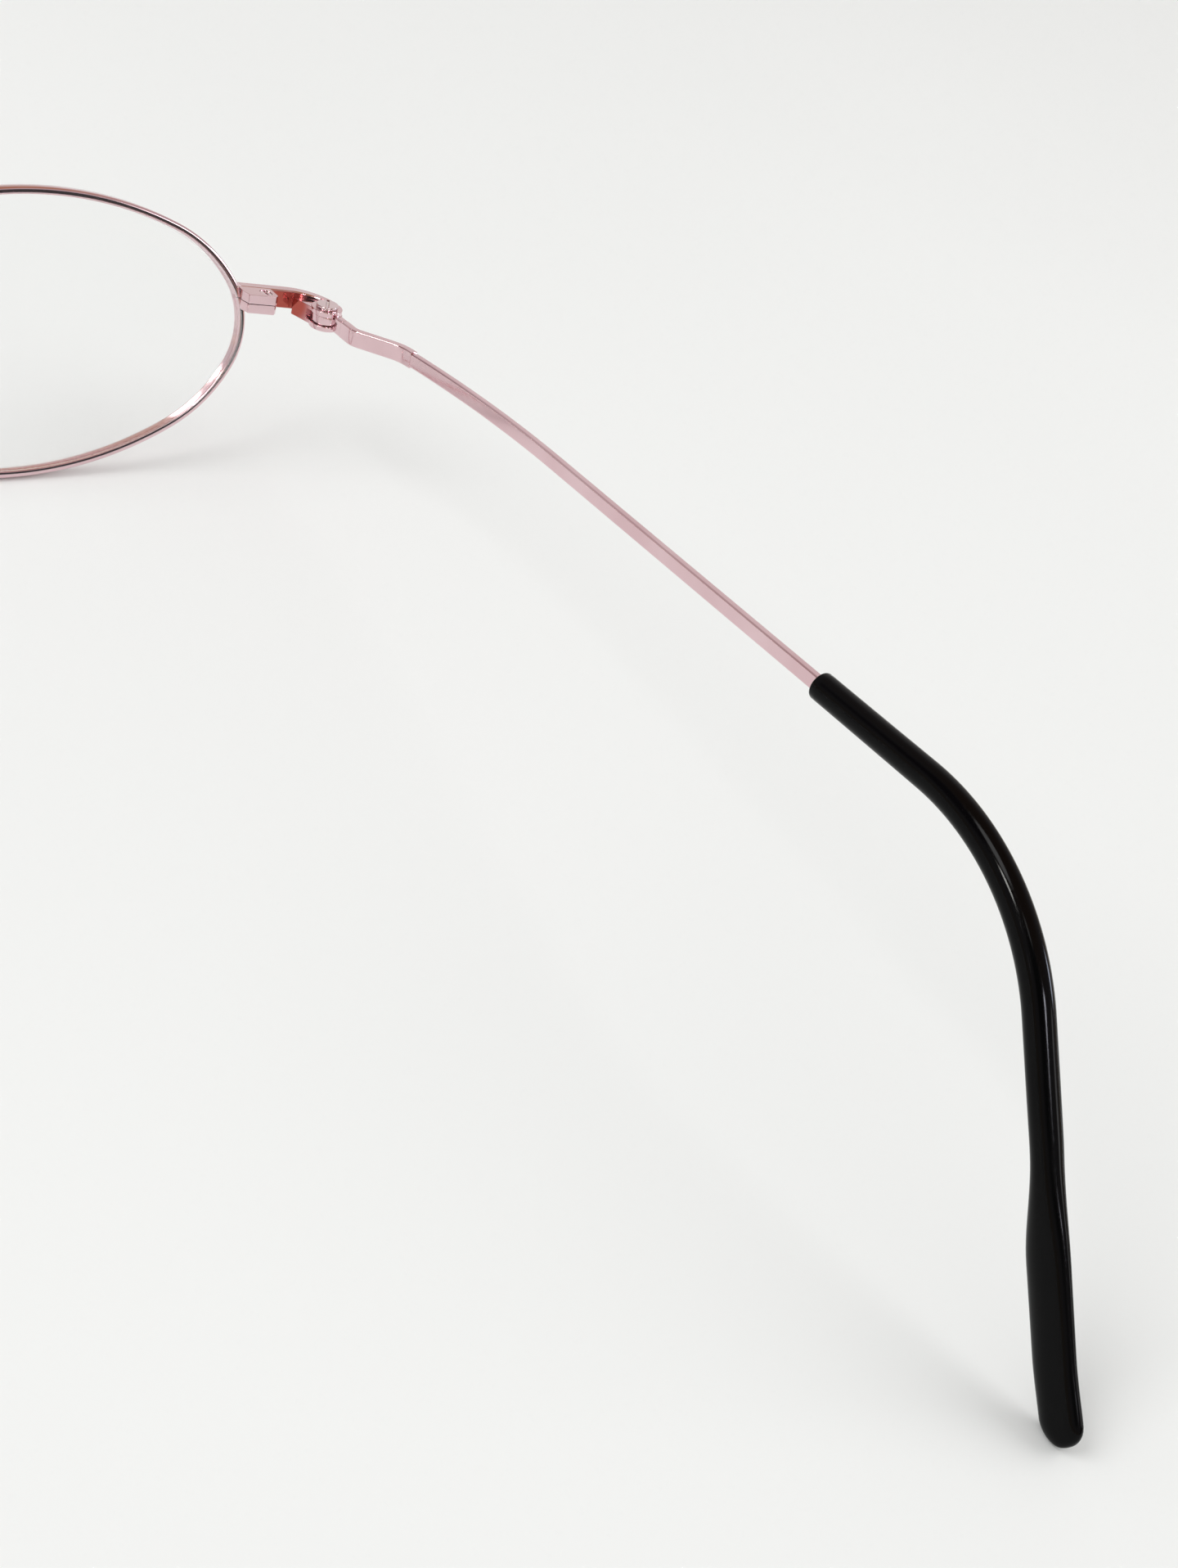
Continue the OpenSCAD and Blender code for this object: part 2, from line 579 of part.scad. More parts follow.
module end_piece() {
    color(metal) difference() {
        strip_form();
        at_rim() rim_space(strip_off - eps);
        at_hinge() {
            cylinder(r = lug_r, h = 2 * lug_h, center = true);
            translate([-2 * lug_d, -stop_front, -lug_h]) cube([4 * lug_d, 3 * lug_d, 2 * lug_h]);
        }
    }
}

// The closing block behind the strip and the rim wire, one half at a time
module block_form(from, to) {
    x0 = rim_outside - block_in;
    x1 = rim_outside + block_l;
    translate([0, 0, from]) linear_extrude(to - from) polygon([
        [x0, -strip_front], [x1, -strip_front], [x1, block_back - block_corner],
        [x1 - block_corner, block_back], for (p = block_slope) [x0 + p[0], block_back - p[1]]
    ]);
}

module block_upper() {
    color(metal) difference() {
        at_block() difference() {
            block_form(split_gap / 2, block_h / 2);
            translate([close_x, close_y, 0]) cylinder(d = close_d + 2 * push_fit, h = through);
            translate([close_x, close_y, block_h / 2 - close_head_h])
                cylinder(d = close_head + 2 * push_fit, h = through);
            strip_front_room();
        }
        at_rim() rim_space();
    }
}

// What lies in front of the strip's back face, which the block must not fill
module strip_front_room(grown = 0) {
    translate([0, -strip_front - through, -through])
        cube([2 * through, through + strip_t + grown, 2 * through]);
}

module block_lower() {
    color(metal) difference() {
        at_block() difference() {
            block_form(-block_h / 2, -split_gap / 2);
            translate([close_x, close_y, -through]) cylinder(d = close_d + 2 * push_fit, h = 2 * through);
            strip_front_room(strip_off);
        }
        at_rim() rim_space();
    }
}

module closing_screw() {
    top = block_h / 2;
    color(screw_metal) at_block() translate([close_x, close_y, 0]) difference() {
        union() {
            translate([0, 0, -block_h / 2])
                cylinder(d = close_d, h = block_h - close_head_h + eps);
            translate([0, 0, top - close_head_h]) cylinder(d = close_head, h = close_head_h - close_sunk);
        }
        translate([-slot_w / 2, -close_head, top - close_sunk - close_slot])
            cube([slot_w, 2 * close_head, 2 * close_slot]);
    }
}

// The hinge's foot on the end piece, seen from above, from the pin
hinge_foot = [[-2.1, -2.9], [-1.9, -2.2], [-1.45, -0.5], [0, 0], [1, -0.6], [0.6, -2.1], [-1, -3.5]];
// Clearance round the middle knuckle
knuckle_room = 0.06;
// The slot goes further forward than the stop by this much on the inner side, for the folded temple
stop_room = 0.5;
inner_room = 0.2;

module front_hinge() {
    mid = knuckle_h / 2 + turn_gap;
    color(metal) difference() {
        union() {
            at_hinge() cylinder(r = lug_r, h = lug_h, center = true);
            difference() {
                at_hinge() linear_extrude(lug_h - 2 * edge, center = true) polygon(hinge_foot);
                strip_form(2 * lug_h);
            }
        }
        at_hinge() {
            translate([0, 0, -mid]) cylinder(r = knuckle_r + knuckle_room, h = 2 * mid);
            translate([-lug_d, -stop_front, -mid]) cube([2 * lug_d, 2 * lug_d, 2 * mid]);
            translate([-lug_r - inner_room, -stop_front - stop_room, -mid])
                cube([lug_r, stop_room, 2 * mid]);
            cylinder(d = pin_d + 2 * run_fit, h = 2 * lug_h, center = true);
        }
    }
}

module hinge_screw() {
    color(screw_metal) at_hinge() {
        translate([0, 0, -lug_h / 2]) cylinder(d = pin_d, h = lug_h + eps);
        difference() {
            translate([0, 0, lug_h / 2]) cylinder(d = pin_head_d, h = pin_head_h);
            translate([-slot_w / 2, -pin_head_d, lug_h / 2 + pin_head_h / 2])
                cube([slot_w, 2 * pin_head_d, pin_head_h]);
        }
    }
}

module temple_hinge() {
    color(metal) at_hinge() difference() {
        union() {
            cylinder(r = knuckle_r, h = knuckle_h, center = true);
            intersection() {
                cylinder(r = toe_r, h = knuckle_h, center = true);
                translate([0, turn_gap / 2 - stop_front, -knuckle_h]) cube([lug_d, lug_d, 2 * knuckle_h]);
            }
            translate([plate_out - plate_t / 2, 0, -knuckle_h / 2])
                cube([plate_t, foot_at + eps, knuckle_h]);
            translate([plate_out, foot_at, 0]) rotate([-90, 0, 0])
                linear_extrude(foot_l) section(plate_t, plate_h);
        }
        cylinder(d = pin_d + 2 * run_fit, h = 2 * lug_h, center = true);
    }
}

module temple_plate() {
    color(metal) translate([0, 0, hinge_z])
        skin([for (p = places(plate_start, plate_path)) ring_at(p, section_points(plate_t, plate_h))]);
}

// Lengths along the sleeve at which its core has a ring
core_at = concat([2 * eps], bend_at_steps, [sleeve_l - core_stop]);

// The temple bar runs on into the sleeve as a thinner core, which follows the ear bend
module temple_bar() {
    bar_shape = section_points(bar_t, bar_h);
    core_shape = section_points(core_t, core_h);
    color(metal) skin(concat(
        [for (p = places(bar_start, bar_path)) [for (q = ring_at(p, bar_shape)) q + [0, 0, hinge_z]]],
        [for (s = core_at) [for (q = across_tip(s, core_shape)) to_wear(q)]]));
}

// A skin over the rings outside, the rings of the bore inside, and the mouth between the two
module temple_tip() {
    n = ring_n;
    inner_points = [for (s = bore_at) each [for (p = ring(s, bore_r, bore_r, 0)) to_wear(p)]];
    base = len(tip_points);
    sides = function (first, rings, flip) [for (j = [0:rings - 2], i = [0:n - 1])
        let (a = first + j * n + i, b = first + j * n + (i + 1) % n)
            each flip ? [[a, b + n, b], [a, a + n, b + n]] : [[a, b, b + n], [a, b + n, a + n]]];
    end_cap = [for (i = [0:n - 1]) base - n + i];
    bore_cap = [for (i = [n - 1:-1:0]) base + len(inner_points) - n + i];
    mouth_faces = [for (i = [0:n - 1]) let (b = (i + 1) % n)
        each [[i, base + i, base + b], [i, base + b, b]]];
    color(black_tip) polyhedron(concat(tip_points, inner_points), concat(sides(0, len(outer_at), false),
        [end_cap], sides(base, len(bore_at), true), [bore_cap], mouth_faces), convexity = 6);
}

module right_side() {
    stand() mirror([1, 0, 0]) children();
}

right_side() rim();  // right_rim
stand() rim();  // left_rim
right_side() lens();  // right_lens
stand() lens();  // left_lens
stand() bridge();
right_side() pad_arm();  // right_pad_arm
stand() pad_arm();  // left_pad_arm
right_side() pad_box();  // right_pad_box
stand() pad_box();  // left_pad_box
right_side() nose_pad();  // right_nose_pad
stand() nose_pad();  // left_nose_pad
right_side() pad_screw();  // right_pad_screw
stand() pad_screw();  // left_pad_screw
right_side() block_upper();  // right_block_upper
stand() block_upper();  // left_block_upper
right_side() block_lower();  // right_block_lower
stand() block_lower();  // left_block_lower
right_side() closing_screw();  // right_closing_screw
stand() closing_screw();  // left_closing_screw
right_side() end_piece();  // right_end_piece
stand() end_piece();  // left_end_piece
right_side() front_hinge();  // right_front_hinge
stand() front_hinge();  // left_front_hinge
right_side() hinge_screw();  // right_hinge_screw
stand() hinge_screw();  // left_hinge_screw
right_side() temple_hinge();  // right_temple_hinge
stand() temple_hinge();  // left_temple_hinge
right_side() temple_plate();  // right_temple_plate
stand() temple_plate();  // left_temple_plate
right_side() temple_bar();  // right_temple_bar
stand() temple_bar();  // left_temple_bar
right_side() temple_tip();  // right_temple_tip
stand() temple_tip();  // left_temple_tip
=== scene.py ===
"""Looks of a pair of oval metal eyeglasses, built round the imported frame.

Lengths in the classes are millimetres in the wearing position: the origin is midway between the rims,
X points to the wearer's left, Y to the back and Z up. Stance turns them into the frame's metres.
A finish gives a relief as its strength and its depth, and a noise's span as the values between which
it counts.
"""

import json
import logging
import math
from collections.abc import Iterable, Sequence
from dataclasses import dataclass
from enum import Enum
from functools import cached_property

import bmesh
import bpy
from mathutils import Matrix, Vector


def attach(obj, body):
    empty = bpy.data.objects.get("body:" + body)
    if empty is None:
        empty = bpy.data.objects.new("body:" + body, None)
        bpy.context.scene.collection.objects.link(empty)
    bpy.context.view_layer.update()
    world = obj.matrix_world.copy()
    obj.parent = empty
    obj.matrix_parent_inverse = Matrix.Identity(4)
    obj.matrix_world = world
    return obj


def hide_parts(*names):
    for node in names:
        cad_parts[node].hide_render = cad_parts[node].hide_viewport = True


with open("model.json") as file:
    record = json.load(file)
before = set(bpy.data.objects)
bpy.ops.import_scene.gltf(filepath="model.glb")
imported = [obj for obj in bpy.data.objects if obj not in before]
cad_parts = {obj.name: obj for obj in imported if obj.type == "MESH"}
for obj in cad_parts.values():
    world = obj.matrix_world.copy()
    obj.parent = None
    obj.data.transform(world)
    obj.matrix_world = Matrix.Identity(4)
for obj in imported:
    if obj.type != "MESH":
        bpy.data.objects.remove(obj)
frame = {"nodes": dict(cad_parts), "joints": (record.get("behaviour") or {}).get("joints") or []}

log = logging.getLogger("eyeglasses")

MM = 0.001
CORNER_STEPS = 4
SAME_POINT_MM = 0.001
FLAT_DEG = 0.5
BROKEN_EDGE_DEG = 28
COPY_CRISP_DEG = 40
Outline = list[tuple[float, float]]
Ring = list[Vector]
Span = tuple[float, float]
Colour = tuple[float, float, float]
Socket = bpy.types.NodeSocket


class Side(Enum):
    """The two halves of the glasses, as the sign of X."""

    RIGHT = -1
    LEFT = 1

    @property
    def word(self) -> str:
        """The side's name as the nodes spell it."""
        return self.name.lower()


class Slot(Enum):
    """The record's material slots."""

    METAL = "metal"
    SCREW = "screw"
    LENS = "lens"
    NOSE_PAD = "nose_pad"
    EAR_TIP = "ear_tip"


@dataclass(frozen=True)
class Piece:
    """One piece of the scene and the node that it stands for."""

    shape: bpy.types.Object
    body: str
    slot: Slot
    node: str


class Stance:
    """Places the wearing position, in millimetres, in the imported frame, in metres."""

    def __init__(self, hinge: Vector) -> None:
        """Reads tilt and shift from the left temple's fold.

        Args:
            hinge: The left hinge pin's middle in the wearing position.
        """
        fold = next(j for j in frame["joints"] if j["name"] == "left_temple_fold")
        axis, self.pin = Vector(fold["axis"]), Vector(fold["pos_m"])
        self.turn = Matrix.Rotation(math.atan2(-axis.y, axis.z), 3, "X")
        self.shift = self.pin - self.turn @ (hinge * MM)

    def place(self, point: Vector, side: Side = Side.LEFT) -> Vector:
        """Gives the place in metres of a point of the left half, on either side."""
        p = self.turn @ (point * MM) + self.shift
        return Vector((p.x * side.value, p.y, p.z))

    def place_rings(self, rings: Iterable[Iterable[Vector]], side: Side = Side.LEFT) -> list[Ring]:
        """Gives the places in metres of rings of points of the left half, on either side."""
        return [[self.place(p, side) for p in ring] for ring in rings]


def ease(value: float, start: float, end: float) -> float:
    """Gives a share that changes smoothly from 0 at start to 1 at end."""
    t = max(0.0, min(1.0, (value - start) / (end - start)))
    return t * t * (3 - 2 * t)


def filleted(corners: Sequence[tuple[float, float]], radii: Sequence[float]) -> Outline:
    """Rounds an outline's corners.

    Args:
        corners: The outline's corners in order.
        radii: The radius at each corner.

    Returns:
        The rounded outline.
    """
    out: Outline = []
    for i, (corner, radius) in enumerate(zip(corners, radii)):
        here = Vector(corner)
        to_last = (Vector(corners[i - 1]) - here).normalized()
        to_next = (Vector(corners[(i + 1) % len(corners)]) - here).normalized()
        half = math.acos(max(-1.0, min(1.0, to_last.dot(to_next)))) / 2
        run = radius / math.tan(half)
        centre = here + (to_last + to_next).normalized() * (radius / math.sin(half))
        first = here + to_last * run - centre
        last = here + to_next * run - centre
        swing = first.angle_signed(last) if radius > 0 else 0.0
        for k in range(CORNER_STEPS + 1):
            p = centre + Matrix.Rotation(-swing * k / CORNER_STEPS, 2) @ first
            out.append((p.x, p.y))
    return out


def rounded_box(width: float, height: float, radius: float) -> Outline:
    """Gives a rectangle with rounded corners round the origin."""
    w, h = width / 2, height / 2
    return filleted([(-w, -h), (-w, h), (w, h), (w, -h)], [radius] * 4)


def into_scene(name: str, data: bpy.types.ID) -> bpy.types.Object:
    """Puts a mesh, a camera or a lamp into the scene.

    Args:
        name: The new object's name.
        data: What the object holds.

    Returns:
        The new object.
    """
    thing = bpy.data.objects.new(name, data)
    bpy.context.scene.collection.objects.link(thing)
    return thing


def finish_shape(shape: bpy.types.Object, sharp_deg: float) -> bpy.types.Object:
    """Gives a mesh outward normals, smooth shading, and crisp edges where faces meet sharply.

    Args:
        shape: The mesh object.
        sharp_deg: Angle between two faces from which their edge is crisp.

    Returns:
        The same object.
    """
    work = bmesh.new()
    work.from_mesh(shape.data)
    bmesh.ops.recalc_face_normals(work, faces=work.faces)
    work.to_mesh(shape.data)
    work.free()
    shape.data.polygons.foreach_set("use_smooth", [True] * len(shape.data.polygons))
    shape.data.set_sharp_from_angle(angle=math.radians(sharp_deg))
    weighted = shape.modifiers.new("even_normals", "WEIGHTED_NORMAL")
    weighted.keep_sharp = True
    return shape


def skin(name: str, rings: Sequence[Ring], sharp_deg: float = 50) -> bpy.types.Object:
    """Makes a mesh over rings of points, closed by a face at each end.

    Args:
        name: The new object's name.
        rings: Rings of points in metres, all of one length.
        sharp_deg: Angle from which an edge is crisp.

    Returns:
        The new object.
    """
    n, count = len(rings[0]), len(rings)
    faces: list[tuple[int, ...]] = []
    for here in range(0, (count - 1) * n, n):
        there = here + n
        faces += [(here + i, here + (i + 1) % n, there + (i + 1) % n, there + i) for i in range(n)]
    faces += [tuple(range(n)), tuple(range((count - 1) * n, count * n))]
    data = bpy.data.meshes.new(name)
    data.from_pydata([p for ring in rings for p in ring], [], faces)
    return finish_shape(into_scene(name, data), sharp_deg)


def rounded_copy(node: str, name: str, edge: float) -> bpy.types.Object:
    """Makes a finer copy of a small machined piece, with its edges broken.

    Args:
        node: The piece's node in the frame.
        name: The copy's name.
        edge: Radius of the broken edges, in millimetres.

    Returns:
        The new object.
    """
    work = bmesh.new()
    work.from_mesh(frame["nodes"][node].data)
    bmesh.ops.remove_doubles(work, verts=work.verts, dist=SAME_POINT_MM * MM)
    bmesh.ops.dissolve_limit(work, angle_limit=math.radians(FLAT_DEG), verts=work.verts, edges=work.edges)
    crisp = [e for e in work.edges if e.is_manifold and e.calc_face_angle() > math.radians(BROKEN_EDGE_DEG)]
    bmesh.ops.bevel(work, geom=crisp, offset=edge * MM, segments=3, profile=0.5, affect="EDGES",
                    clamp_overlap=True, loop_slide=True)
    data = bpy.data.meshes.new(name)
    work.to_mesh(data)
    work.free()
    return finish_shape(into_scene(name, data), COPY_CRISP_DEG)


def machined(side: Side, body: str, row: tuple[str, str, float, Slot]) -> Piece:
    """Dresses a machined piece, given its node and copy's name without the side, its edges and its slot."""
    node, name = (f"{side.word}_{word}" for word in row[:2])
    return Piece(rounded_copy(node, name, row[2]), body, row[3], node)


class NodePen:
    """Adds nodes to a material or the world and links them in one line."""

    def __init__(self, tree: bpy.types.NodeTree) -> None:
        """Starts on an empty tree."""
        self.tree = tree
        tree.nodes.clear()

    def feed(self, node: bpy.types.Node, inputs: dict) -> bpy.types.Node:
        """Feeds a node's inputs.

        Args:
            node: The node.
            inputs: Output sockets, numbers, vectors or colours by the input's name or number.

        Returns:
            The same node.
        """
        for key, value in inputs.items():
            socket = node.inputs[key]
            if isinstance(value, Socket):
                self.tree.links.new(value, socket)
            else:
                socket.default_value = (*value[:3], 1) if socket.type == "RGBA" else value
        return node

    def add(self, kind: str, settings: dict | None = None, **inputs: object) -> bpy.types.Node:
        """Adds a node, sets it up and feeds its inputs.

        Args:
            kind: The node's type name.
            settings: The node's own properties.
            inputs: Values or output sockets by input name, with _ for a space.

        Returns:
            The new node.
        """
        node = self.tree.nodes.new(kind)
        for key, value in (settings or {}).items():
            setattr(node, key, value)
        return self.feed(node, {key.replace("_", " "): value for key, value in inputs.items()})

    def blend(self, share: object, a: object, b: object) -> Socket:
        """Mixes two colours, each a value or a socket, by the second one's share."""
        mix = self.add("ShaderNodeMix", {"data_type": "RGBA"})
        return self.feed(mix, {0: share, 6: a, 7: b}).outputs[2]

    def combine(self, kind: str, operation: str, a: object, b: object) -> Socket:
        """Works one number out of two inputs, each a value or a socket."""
        return self.feed(self.add(kind, {"operation": operation}), {0: a, 1: b}).outputs["Value"]

    def spread(self, value: Socket, source: Span, target: Span = (0, 1), smooth: bool = False) -> Socket:
        """Maps one span of a value onto another and stays within it, eased if smooth."""
        curve = {"interpolation_type": "SMOOTHSTEP" if smooth else "LINEAR"}
        return self.add("ShaderNodeMapRange", curve, Value=value, From_Min=source[0], From_Max=source[1],
                        To_Min=target[0], To_Max=target[1]).outputs[0]

    def noise(self, where: Socket, scale: float, detail: float, roughness: float = 0.5) -> Socket:
        """Adds noise with so many cells a metre, and finer layers over them."""
        return self.add("ShaderNodeTexNoise", Vector=where, Scale=scale, Detail=detail,
                        Roughness=roughness).outputs[0]

    def bump(self, height: Socket, strength: float, depth: float, under: Socket | None = None) -> Socket:
        """Adds relief so many millimetres deep, over other relief if there is any."""
        below = {} if under is None else {"Normal": under}
        return self.add("ShaderNodeBump", Strength=strength, Distance=depth * MM, Height=height,
                        **below).outputs[0]

    def object_place(self) -> Socket:
        """Gives the socket of a point's place on the object, in metres."""
        return self.add("ShaderNodeTexCoord").outputs["Object"]

    def surface(self, **inputs: object) -> None:
        """Ends a material with its shader, whose inputs are given as in add."""
        shader = self.add("ShaderNodeBsdfPrincipled", **inputs)
        self.add("ShaderNodeOutputMaterial", Surface=shader.outputs[0])


def new_material(name: str) -> tuple[bpy.types.Material, NodePen]:
    """Makes a material with an empty node tree.

    Args:
        name: Its name.

    Returns:
        The material and a pen for its nodes.
    """
    material = bpy.data.materials.new(name)
    material.use_nodes = True
    return material, NodePen(material.node_tree)


@dataclass(frozen=True)
class PolishedPlating:
    """Polished plating that drifts in tone, with hairlines from wiping, and a painted deep red shade in a
    recess that stands in for the light bouncing inside it.
    """

    name: str
    light_tone: Colour
    deep_tone: Colour
    gloss: Span
    drift_scale: float = 160
    grain_scale: float = 5200
    hair_scale: tuple[float, float, float] = (9000, 260, 9000)
    recess_tone: Colour = (0.42, 0.09, 0.07)
    recess_reach: Span = (1.5, 3.3)
    recess_upright: Span = (0.35, 0.7)
    recess_behind: Span = (-0.4, 0)
    drift_span: Span = (0.35, 0.65)
    hair_span: Span = (0.3, 0.75)
    grain_relief: Span = (0.10, 0.01)
    drift_relief: Span = (0.15, 0.06)

    def recess_share(self, pen: NodePen, middle: Vector) -> Socket:
        """Finds where the painted recess shade goes: the upright faces round a recess that don't face
        forwards, on both sides of the glasses.

        Args:
            pen: The pen for the material's nodes.
            middle: The left recess's middle, in metres.

        Returns:
            The socket with the share of the painted shade.
        """
        place = pen.add("ShaderNodeTexCoord")
        parts = pen.add("ShaderNodeSeparateXYZ", Vector=place.outputs["Object"]).outputs
        faces = pen.add("ShaderNodeSeparateXYZ", Vector=place.outputs["Normal"]).outputs
        outwards = pen.add("ShaderNodeMath", {"operation": "ABSOLUTE"}, Value=parts["X"])
        one_side = pen.add("ShaderNodeCombineXYZ", X=outwards.outputs[0], Y=parts["Y"], Z=parts["Z"])
        apart = pen.combine("ShaderNodeVectorMath", "DISTANCE", one_side.outputs[0], middle)
        reach = (self.recess_reach[0] * MM, self.recess_reach[1] * MM)
        near = pen.spread(apart, reach, (1, 0), smooth=True)
        upright = pen.spread(faces["Z"], self.recess_upright, (1, 0))
        behind = pen.spread(faces["Y"], self.recess_behind)
        both = pen.combine("ShaderNodeMath", "MULTIPLY", near, upright)
        return pen.combine("ShaderNodeMath", "MULTIPLY", both, behind)

    def material(self, recess: Vector | None = None) -> bpy.types.Material:
        """Builds the plating's nodes.

        Args:
            recess: The middle of a recess in which a painted shade deepens the tone, in metres.

        Returns:
            The material.
        """
        material, pen = new_material(f"{self.name}_recessed" if recess else self.name)
        where = pen.object_place()
        drift = pen.noise(where, self.drift_scale, 3)
        grain = pen.noise(where, self.grain_scale, 4, 0.6)
        wiped = pen.add("ShaderNodeMapping", Vector=where, Scale=self.hair_scale)
        hairs = pen.noise(wiped.outputs[0], 1, 2)
        colour = pen.blend(pen.spread(drift, self.drift_span), self.light_tone, self.deep_tone)
        if recess:
            # Painted shade: faces in the recess turn deep red, standing in for the light bounced inside it.
            colour = pen.blend(self.recess_share(pen, recess), colour, self.recess_tone)
        peel = pen.bump(grain, *self.grain_relief)
        pen.surface(Base_Color=colour, Metallic=1.0,
                    Roughness=pen.spread(hairs, self.hair_span, self.gloss),
                    Normal=pen.bump(drift, *self.drift_relief, peel))
        return material


@dataclass(frozen=True)
class ClearLens:
    """Clear coated plastic that hardly mirrors, with faint smears."""

    name: str = "clear_lens"
    tint: Colour = (0.96, 0.985, 0.975)
    presence: float = 0.16
    smear_scale: float = 60
    smear_span: Span = (0.45, 0.8)
    gloss: Span = (0, 0.04)

    def material(self) -> bpy.types.Material:
        """Builds the lens's nodes.

        Returns:
            The material.
        """
        material, pen = new_material(self.name)
        smear = pen.noise(pen.object_place(), self.smear_scale, 4)
        pen.surface(Base_Color=self.tint, Roughness=pen.spread(smear, self.smear_span, self.gloss), IOR=1.5,
                    Transmission_Weight=1.0, Alpha=self.presence)
        return material


@dataclass(frozen=True)
class ClearSilicone:
    """Soft clear silicone, slightly milky, with a satin skin."""

    name: str = "clear_silicone"
    tint: Colour = (0.93, 0.92, 0.88)
    milk: Colour = (0.86, 0.85, 0.80)
    cloud_scale: float = 260
    pore_scale: float = 4200
    pore_relief: Span = (0.15, 0.02)
    gloss: Span = (0.18, 0.34)

    def material(self) -> bpy.types.Material:
        """Builds the silicone's nodes.

        Returns:
            The material.
        """
        material, pen = new_material(self.name)
        where = pen.object_place()
        cloud = pen.noise(where, self.cloud_scale, 3)
        pores = pen.noise(where, self.pore_scale, 2)
        pen.surface(Base_Color=pen.blend(cloud, self.tint, self.milk), IOR=1.41, Transmission_Weight=0.85,
                    Roughness=pen.spread(cloud, (0, 1), self.gloss), Alpha=0.7,
                    Normal=pen.bump(pores, *self.pore_relief))
        return material


@dataclass(frozen=True)
class BlackSleeve:
    """Glossy black moulded plastic, with soft waves from moulding and fine handling marks."""

    name: str = "black_sleeve"
    tone: Colour = (0.0011, 0.0011, 0.0012)
    worn_tone: Colour = (0.0022, 0.0022, 0.0025)
    sheen_level: float = 0.08
    wave_scale: float = 140
    mark_scale: float = 2600
    mark_span: Span = (0.35, 0.75)
    mark_relief: Span = (0.10, 0.01)
    wave_relief: Span = (0.30, 0.15)
    gloss: Span = (0.07, 0.18)

    def material(self) -> bpy.types.Material:
        """Builds the sleeve's nodes.

        Returns:
            The material.
        """
        material, pen = new_material(self.name)
        where = pen.object_place()
        waves = pen.noise(where, self.wave_scale, 2)
        marks = pen.noise(where, self.mark_scale, 5, 0.65)
        fine = pen.bump(marks, *self.mark_relief)
        pen.surface(Base_Color=pen.blend(waves, self.tone, self.worn_tone), IOR=1.5,
                    Roughness=pen.spread(marks, self.mark_span, self.gloss),
                    Specular_IOR_Level=self.sheen_level,
                    Normal=pen.bump(waves, *self.wave_relief, fine))
        return material


@dataclass(frozen=True)
class Oval:
    """The middle line of the rim wire: an oval of arcs with three radii a quarter."""

    lens_w: float = 46.6
    lens_h: float = 26.6
    fit: float = 0.03
    groove: float = 0.3
    wire: float = 0.7
    shoulder_r: float = 15
    end_deg: float = 32
    flat_deg: float = 64

    @cached_property
    def half_w(self) -> float:
        """Half the oval's width."""
        return self.lens_w / 2 + self.fit - self.groove + self.wire / 2

    @cached_property
    def half_h(self) -> float:
        """Half the oval's height."""
        return self.lens_h / 2 + self.fit - self.groove + self.wire / 2

    @cached_property
    def arcs(self) -> list[tuple[float, float, float, float]]:
        """Works out the arcs of a quarter, from the outer end to the top.

        Returns:
            Each arc's last facing angle, its centre outwards and upwards, and its radius.
        """
        e, f, s = math.radians(self.end_deg), math.radians(self.flat_deg), self.shoulder_r
        k1 = -self.half_w + s * (math.cos(e) - math.cos(f))
        k2 = self.half_h + s * (math.sin(e) - math.sin(f))
        det = (math.cos(e) - 1) * (1 - math.sin(f)) + math.cos(f) * math.sin(e)
        end_r = (k1 * (1 - math.sin(f)) + math.cos(f) * k2) / det
        flat_r = ((math.cos(e) - 1) * k2 - math.sin(e) * k1) / det
        end_x = self.half_w - end_r
        return [
            (self.end_deg, end_x, 0.0, end_r),
            (self.flat_deg, end_x + (end_r - s) * math.cos(e), (end_r - s) * math.sin(e), s),
            (90.0, 0.0, self.half_h - flat_r, flat_r),
        ]

    def at(self, deg: float, out: float = 0.0) -> tuple[float, float]:
        """Gives the oval's point that faces a direction.

        Args:
            deg: The direction, from the outer end upwards.
            out: Distance outside the middle line.

        Returns:
            The point, outwards and upwards from the oval's middle.
        """
        turn = deg % 360
        mirrored = abs(turn if turn <= 180 else 360 - turn)
        quarter = 180 - mirrored if mirrored > 90 else mirrored
        _, x, z, r = next(arc for arc in self.arcs if quarter <= arc[0])
        across = math.copysign(1, 90 - mirrored)
        above = 1 if turn <= 180 else -1
        a = math.radians(turn)
        return across * x + (r + out) * math.cos(a), above * z + (r + out) * math.sin(a)

    def facing(self, step: float) -> list[float]:
        """Lists facing angles round the oval, about a step apart along it.

        Args:
            step: The wanted distance.

        Returns:
            Angles from 0 to just under 360.
        """
        quarter: list[float] = []
        last = 0.0
        for end, _, _, r in self.arcs:
            n = max(1, round(math.radians(end - last) * r / step))
            quarter += [last + (end - last) * k / n for k in range(n)]
            last = end
        half = quarter + [180 - a for a in reversed([*quarter[1:], 90.0])]
        return [a + turn for turn in (0, 180) for a in half]


